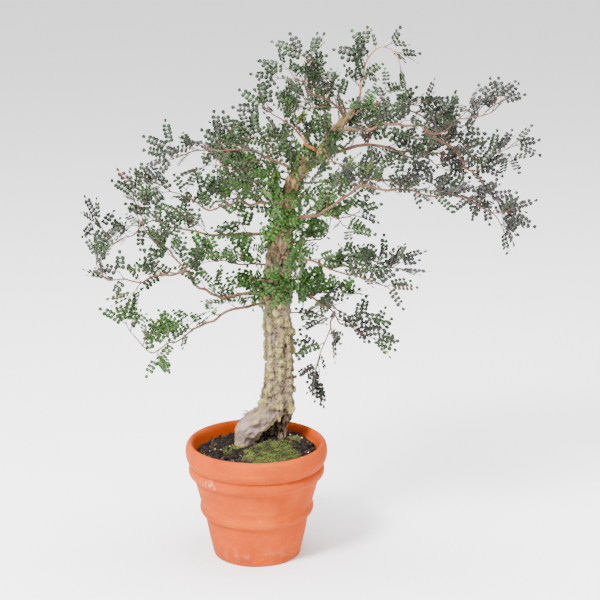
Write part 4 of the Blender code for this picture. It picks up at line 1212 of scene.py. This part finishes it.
def ellipse_arc(centre, radii, start, end, steps):
    """Points of an elliptical arc between two angles in degrees."""
    angles = [math.radians(start + (end - start) * i / steps) for i in range(steps + 1)]
    return [(centre[0] + radii[0] * math.cos(a), centre[1] + radii[1] * math.sin(a)) for a in angles]


def rounded_profile(corners, step):
    """A smooth line through (r, z) corners in mm."""
    samples, _ = smooth_route([Vector((r, 0, z)) for r, z in corners], step)
    return [(spot.x, spot.z) for spot in samples]


def pot_profile():
    """From the middle of the inner floor, up the inner wall, over the rim and down the outer side."""
    inner = [(0.01, 10), (20, 10), (40, 10), (46, 12), (50, 20), (58, 52), (67.7, 92), (74, 113), (78, 129)]
    rim = ellipse_arc((84.6, 137), (5.6, 13), 172, -40, 26)
    collar = [(87.3, 125.2), (84.4, 121.4), (82.8, 120.2), (84.6, 119.2), (86.5, 115.5), (86.5, 111.4)]
    collar.append((85.3, 108.2))
    waist = [(82.4, 106.6), (80.2, 104.2), (79.2, 100.5), (77.6, 95.5), (75.8, 89), (73.0, 78), (71.2, 71.2)]
    ring = [(71.5, 69), (72.5, 65.5), (72.6, 61.5), (71.2, 57.8), (68.6, 56.0), (66.6, 54.4), (65.9, 50.5)]
    foot = [(61.2, 26), (56.6, 6), (55.7, 1.6), (54.2, 0.2), (52, 0)]
    base = [(40, 0), (20, 0), (0.01, 0)]
    outside = rounded_profile(collar + waist + ring + foot, 1.6)
    return rounded_profile(inner, 3) + rim + outside + base


def add_pot(material):
    """The turned pot, a little uneven as handmade ones are, with drain holes, chalk, a darker foot and
    painted shade in its creases and on its damp inner wall.
    """
    profile = pot_profile()
    points = []
    wear_and_shade = []
    for j, (r, z) in enumerate(profile):
        for i in range(POT_STEPS):
            angle = math.tau * i / POT_STEPS
            direction = Vector((math.cos(angle), math.sin(angle), 0))
            lumps = noise.noise(direction * 2.2 + UP * z * 0.03)
            fine = noise.noise(direction * 26 + UP * z * 0.35)
            wave = 0.7 * noise.noise(direction * 1.7 + UP * 9) if 50 < z < 75 and r > 60 else 0
            radius = r + (0.35 * lumps + 0.10 * fine) * min(1, r / 50)
            height = z + (wave + 0.12 * fine) * (1 if z > 5 else 0)
            points.append((radius * math.cos(angle) * MM, radius * math.sin(angle) * MM, height * MM))
            # The inner wall is darkened, partly as damp clay and partly as painted shade.
            inside = 1.0 if j < 30 and z < 146 else 0.0
            off_worn_side = math.degrees(direction.angle(WORN_SIDE))
            chalk = 1.3 * math.exp(-(((z - 114) / 5) ** 2) - (off_worn_side / 13) ** 2)
            chalk += 0.5 * math.exp(-(((z - 14) / 12) ** 2)) * (0.45 + noise.noise(direction * 1.1))
            # Darker towards the foot; the narrow bands at 106, 120.2 and 55.5 mm are painted shade in the
            # creases under the collar, the rim and the ring.
            dark_foot_and_crease_shade = 0.8 * math.exp(-((z / 16) ** 2)) + 0.5 * math.exp(-(((z - 106) / 2) ** 2))
            dark_foot_and_crease_shade += 0.6 * math.exp(-(((z - 120.2) / 1.3) ** 2)) + 0.45 * math.exp(-(((z - 55.5) / 1.5) ** 2))
            wear_and_shade.append((inside, limited(chalk), min(1, dark_foot_and_crease_shade)))
    builder = Builder()
    builder.add(points, band_faces(len(profile) - 1, POT_STEPS), wear_and_shade)
    pot = builder.build("terracotta_pot", material, "wear_and_shade")
    bm = bmesh.new()
    bm.from_mesh(pot.data)
    on_axis = [vert for vert in bm.verts if vert.co.xy.length < 0.02 * MM]
    bmesh.ops.remove_doubles(bm, verts=on_axis, dist=0.05 * MM)
    bmesh.ops.recalc_face_normals(bm, faces=bm.faces)
    bm.to_mesh(pot.data)
    bm.free()
    drill_holes(pot)
    pot.data.shade_smooth()
    handed_over(pot, "terracotta", "pot")


def drill_holes(pot):
    """Cuts the drain holes through the floor, the first of them towards the back."""
    bm = bmesh.new()
    radius = DRAIN_RADIUS * MM
    for i in range(DRAIN_HOLES):
        angle = math.tau * i / DRAIN_HOLES
        x = DRAIN_CIRCLE * MM * math.sin(angle)
        y = DRAIN_CIRCLE * MM * math.cos(angle)
        place = Matrix.Translation((x, y, 5 * MM))
        bmesh.ops.create_cone(
            bm, cap_ends=True, segments=40, radius1=radius, radius2=radius, depth=20 * MM, matrix=place
        )
    drills = new_object("drills", mesh_from(bm, "drills"))
    cut = pot.modifiers.new("drain", "BOOLEAN")
    cut.operation = "DIFFERENCE"
    cut.solver = "EXACT"
    cut.object = drills
    graph = bpy.context.evaluated_depsgraph_get()
    pot.data = bpy.data.meshes.new_from_object(pot.evaluated_get(graph))
    pot.modifiers.clear()
    bpy.data.objects.remove(drills)


# --- soil and moss ---


def mound(x, y):
    """How far the soil rises above its edge at a place, all in mm."""
    near = math.hypot(x - MOUND_CENTRE[0], y - MOUND_CENTRE[1]) / MOUND_SPREAD
    return MOUND_HEIGHT * math.exp(-near * near)


def ground(x, y):
    """The lumpy soil's height at a place, in mm."""
    spot = Vector((x, y, 0))
    lumps = 2.0 * noise.noise(spot * 0.06) + 2.0 * noise.noise(spot * 0.15 + UP * 5)
    clods = 2.6 * (0.5 - noise.voronoi(spot * 0.20)[0][0])
    crumbs = 0.8 * noise.noise(spot * 0.6 + UP * 9) + 0.35 * noise.noise(spot * 1.6)
    edge = limited((LUMPS_END - math.hypot(x, y)) / 6)
    rough = (lumps + clods + crumbs) * (0.5 + 0.5 * edge)
    return SOIL_EDGE_Z + mound(x, y) + 0.035 * y + rough - 1.2 * (1 - edge)


def add_soil(material):
    """A closed disc of soil with a lumpy top that fills the pot's mouth."""
    angles = [math.tau * i / SOIL_STEPS for i in range(SOIL_STEPS)]
    points = []
    for j in range(1, SOIL_RINGS + 1):
        r = SOIL_RADIUS * j / SOIL_RINGS
        for angle in angles:
            x = r * math.cos(angle)
            y = r * math.sin(angle)
            points.append((x * MM, y * MM, ground(x, y) * MM))
    for angle in angles:
        x = SOIL_FOOT_RADIUS * math.cos(angle)
        y = SOIL_FOOT_RADIUS * math.sin(angle)
        points.append((x * MM, y * MM, SOIL_FOOT_Z * MM))
    middle = len(points)
    under = middle + 1
    points.append((0, 0, ground(0, 0) * MM))
    points.append((0, 0, SOIL_FOOT_Z * MM))
    faces = band_faces(SOIL_RINGS, SOIL_STEPS)
    last = SOIL_RINGS * SOIL_STEPS
    for i in range(SOIL_STEPS):
        k = (i + 1) % SOIL_STEPS
        faces.append((middle, i, k))
        faces.append((under, last + k, last + i))
    builder = Builder()
    builder.add(points, faces, (1, 1, 1))
    handed_over(builder.build("soil_bed", material), "soil", "soil")


def ball_template(subdivisions):
    """The points and faces of a ball of radius 1."""
    bm = bmesh.new()
    bmesh.ops.create_icosphere(bm, subdivisions=subdivisions, radius=1)
    points = [vert.co.copy() for vert in bm.verts]
    faces = [tuple(vert.index for vert in face.verts) for face in bm.faces]
    bm.free()
    return points, faces


def crumb(builder, template, centre, size, colour, rng, rough):
    """An irregular lump, size in mm."""
    points, faces = template
    shift = Vector((rng.uniform(0, 90), rng.uniform(0, 90), rng.uniform(0, 90)))
    stretch = Vector((rng.uniform(0.7, 1.3), rng.uniform(0.7, 1.3), rng.uniform(0.6, 1.0)))
    turn = Matrix.Rotation(rng.uniform(0, math.tau), 3, "Z") @ Matrix.Rotation(rng.uniform(-0.6, 0.6), 3, "X")
    shaped = []
    for point in points:
        scale = 1 + rough * noise.noise(point * 1.5 + shift) + 0.2 * noise.noise(point * 4 + shift)
        shaped.append(centre + turn @ (point * scale * stretch) * size * MM)
    builder.add(shaped, faces, colour)


def on_soil(rng, limit=74.5):
    """A random place on the soil, outside the roots, in mm."""
    while True:
        angle = rng.uniform(0, math.tau)
        r = limit * math.sqrt(rng.random())
        x = r * math.cos(angle)
        y = r * math.sin(angle)
        if all(math.hypot(x - root_x, y - root_y) > clear for root_x, root_y, clear in ROOT_FEET):
            return x, y


def in_moss(x, y):
    """Whether a place is well inside a moss patch."""
    for mx, my, rx, ry, _ in MOSS.values():
        if ((x - mx) / (rx * 0.8)) ** 2 + ((y - my) / (ry * 0.8)) ** 2 < 1:
            return True
    return False


def add_crumbs(material):
    """Clods and crumbs of dark soil, and white perlite grains."""
    rng = random.Random("crumbs")
    coarse_ball = ball_template(2)
    fine_ball = ball_template(3)
    crumbs = Builder()
    grains = Builder()
    for _ in range(CRUMBS):
        x, y = on_soil(rng)
        size = rng.choice((0.6, 0.8, 1.0, 1.4, 2.0, 2.8)) * rng.uniform(0.7, 1.25)
        shade = rng.uniform(0.5, 1.6)
        colour = [channel * shade for channel in rng.choice(CRUMB_COLOURS)]
        z = ground(x, y) + 0.25 * size
        crumb(crumbs, coarse_ball, Vector((x, y, z)) * MM, size, colour, rng, 0.6)
    for _ in range(PERLITE_GRAINS):
        x, y = on_soil(rng)
        if in_moss(x, y):
            continue
        size = rng.uniform(0.4, 1.25)
        shade = rng.uniform(0.55, 0.95)
        colour = [channel * shade for channel in PERLITE_COLOUR]
        z = ground(x, y) + 0.5 * size
        crumb(grains, fine_ball, Vector((x, y, z)) * MM, size, colour, rng, 0.4)
    handed_over(crumbs.build("soil_crumbs", material), "soil", "soil")
    handed_over(grains.build("perlite_grains", material), "soil", "soil")


def add_fibres(material):
    """Thin straw and root fibres lying on the soil, and dead twiglets at the trunk's left."""
    rng = random.Random("fibres")
    builder = Builder()
    for _ in range(FIBRES):
        x, y = on_soil(rng, 72)
        angle = rng.uniform(0, math.tau)
        length = rng.uniform(3, 12)
        bend = rng.uniform(-0.9, 0.9)
        spots = []
        for k in range(6):
            t = k / 5
            turn = angle + bend * t
            x += math.cos(turn) * length / 5
            y += math.sin(turn) * length / 5
            if math.hypot(x, y) > LOOSE_END:
                break
            z = ground(x, y) + 0.5 + 1.2 * math.sin(math.pi * t) * rng.random()
            spots.append(Vector((x, y, z)) * MM)
        if len(spots) < 3:
            continue
        colour = rng.choice(FIBRE_COLOURS)
        points, faces = tube_mesh(spots, [rng.uniform(0.12, 0.28) * MM] * len(spots), 5)
        builder.add(points, faces, colour)
    for route in DEAD_TWIGS:
        spots, _ = smooth_route([Vector(point) * MM for point in route], 2 * MM)
        radii = [(0.85 - 0.4 * i / len(spots)) * MM for i in range(len(spots))]
        points, faces = tube_mesh(spots, radii, 6)
        builder.add(points, faces, DEAD_TWIG_COLOUR)
    handed_over(builder.build("soil_fibres", material), "soil", "soil")


def moss_place(patch, angle, share):
    """A place in a patch with a ragged edge: share is 0 in the middle and 1 at the edge."""
    mx, my, rx, ry, _ = patch
    ragged = 1 + 0.22 * noise.noise(Vector((math.cos(angle), math.sin(angle), mx)) * 1.8)
    return mx + rx * share * ragged * math.cos(angle), my + ry * share * ragged * math.sin(angle)


def moss_dome(patch, share):
    """How far the cushion of a patch rises above the soil, in mm."""
    return 0.30 * patch[4] * (1 - share**2) ** 0.6


def add_cushion(builder, patch):
    """The lumpy closed cushion under the blades."""
    points = []
    for j in range(MOSS_RINGS + 1):
        share = j / MOSS_RINGS
        for i in range(MOSS_STEPS):
            x, y = moss_place(patch, math.tau * i / MOSS_STEPS, share)
            lumps = 0.7 * noise.noise(Vector((x, y, 0)) * 0.25) * (1 - share)
            z = ground(x, y) + moss_dome(patch, share) + lumps - 0.4 * share
            points.append((x * MM, y * MM, z * MM))
    tints = [CUSHION_COLOUR] * len(points) + [CUSHION_FOOT_COLOUR]
    faces = band_faces(MOSS_RINGS, MOSS_STEPS)
    foot = len(points)
    points.append((patch[0] * MM, patch[1] * MM, (ground(patch[0], patch[1]) - 4) * MM))
    last = MOSS_RINGS * MOSS_STEPS
    for i in range(MOSS_STEPS):
        faces.append((foot, last + (i + 1) % MOSS_STEPS, last + i))
    faces.append(tuple(range(MOSS_STEPS - 1, -1, -1)))
    builder.add(points, faces, tints)


def add_moss(material):
    """Each patch is a cushion covered with short curved blades."""
    rng = random.Random("moss")
    for name, patch in MOSS.items():
        rx, ry, height = patch[2:]
        builder = Builder()
        add_cushion(builder, patch)
        for _ in range(int(math.pi * rx * ry * BLADES_PER_MM2)):
            angle = rng.uniform(0, math.tau)
            share = math.sqrt(rng.random())
            x, y = moss_place(patch, angle, share)
            if math.hypot(x, y) > LOOSE_END:
                continue
            patchy = noise.noise(Vector((x, y, 3)) * 0.09)
            fresh = limited(0.5 + 1.1 * patchy + rng.gauss(0, 0.22))
            dull, bright = rng.choice(MOSS_SHADES)
            colour = [dull[i] + (bright[i] - dull[i]) * fresh for i in range(3)]
            tuft = 1.8 * (0.5 - noise.voronoi(Vector((x, y, 7)) * 0.24)[0][0])
            z = ground(x, y) + moss_dome(patch, share) + tuft
            # Brighter on the tops of the tufts and darker in the gaps between them: painted highlight and
            # painted shade.
            colour = [channel * (1 + 0.35 * tuft) for channel in colour]
            moss_blade(builder, Vector((x, y, z - 0.4)) * MM, colour, height, rng)
        handed_over(builder.build(name + "_tufts", material), "moss", name)


def moss_blade(builder, base, colour, height, rng):
    """A little curved spike, painted dark at its foot as shade and bright at its tip as highlight."""
    lean = Vector((rng.gauss(0, 0.5), rng.gauss(0, 0.5), 1)).normalized()
    sweep = Vector((rng.gauss(0, 0.5), rng.gauss(0, 0.5), 0))
    length = rng.uniform(1.5, 3.2) * (0.55 + height / 16) * MM
    spots = [base + lean * length * t + sweep * length * t * t for t in (0, 0.4, 0.75, 1)]
    radii = [0.44 * MM, 0.50 * MM, 0.34 * MM, 0.08 * MM]
    points, faces = tube_mesh(spots, radii, 3)
    # Painted shade at the foot of the blade and painted highlight towards its tip.
    shades = [0.3] * 3 + [0.7] * 3 + [1.2] * 3 + [1.6] * 3 + [0.3, 1.6]
    builder.add(points, faces, [[channel * shade for channel in colour] for shade in shades])


# --- studio ---


def add_studio():
    """A plain pale floor, an even pale world and three soft lamps."""
    bm = bmesh.new()
    bmesh.ops.create_grid(bm, x_segments=1, y_segments=1, size=FLOOR_HALF)
    floor = new_object("studio_floor", mesh_from(bm, "studio_floor"))
    floor.data.materials.append(floor_material())
    world = bpy.data.worlds.new("studio")
    world.use_nodes = True
    background = world.node_tree.nodes["Background"]
    background.inputs["Color"].default_value = (1, 1, 1, 1)
    background.inputs["Strength"].default_value = WORLD_STRENGTH
    bpy.context.scene.world = world
    for name, place, size, power in LAMPS:
        light = bpy.data.lights.new(name, "AREA")
        light.size = size
        light.energy = power
        lamp = new_object(name, light)
        lamp.location = place
        lamp.rotation_euler = (LAMPS_AIM - lamp.location).to_track_quat("-Z", "Y").to_euler()


def add_camera():
    data = bpy.data.cameras.new("camera")
    data.sensor_width = 36
    data.lens = CAMERA_LENS
    camera = new_object("camera", data)
    pitch = math.radians(CAMERA_PITCH)
    camera.location = CAMERA_AIM + Vector((0, -math.cos(pitch), math.sin(pitch))) * CAMERA_DISTANCE
    camera.rotation_euler = (CAMERA_AIM - camera.location).to_track_quat("-Z", "Y").to_euler()
    bpy.context.scene.camera = camera


def main():
    add_camera()
    add_studio()
    add_pot(terracotta_material())
    add_soil(soil_material())
    crumbs = crumb_material()
    add_crumbs(crumbs)
    add_fibres(crumbs)
    add_moss(tinted_material("moss", 0.9, 600, 0.2 * MM)[0])
    add_trunk(bark_material())
    stem = tinted_material("leaf_stem", 0.6, 500, 0.1 * MM)[0]
    wood = wood_material()
    leaf = leaf_material()
    add_branches(wood, leaf, stem)
    add_spurs(wood, leaf, stem)


main()
bpy.context.view_layer.update()
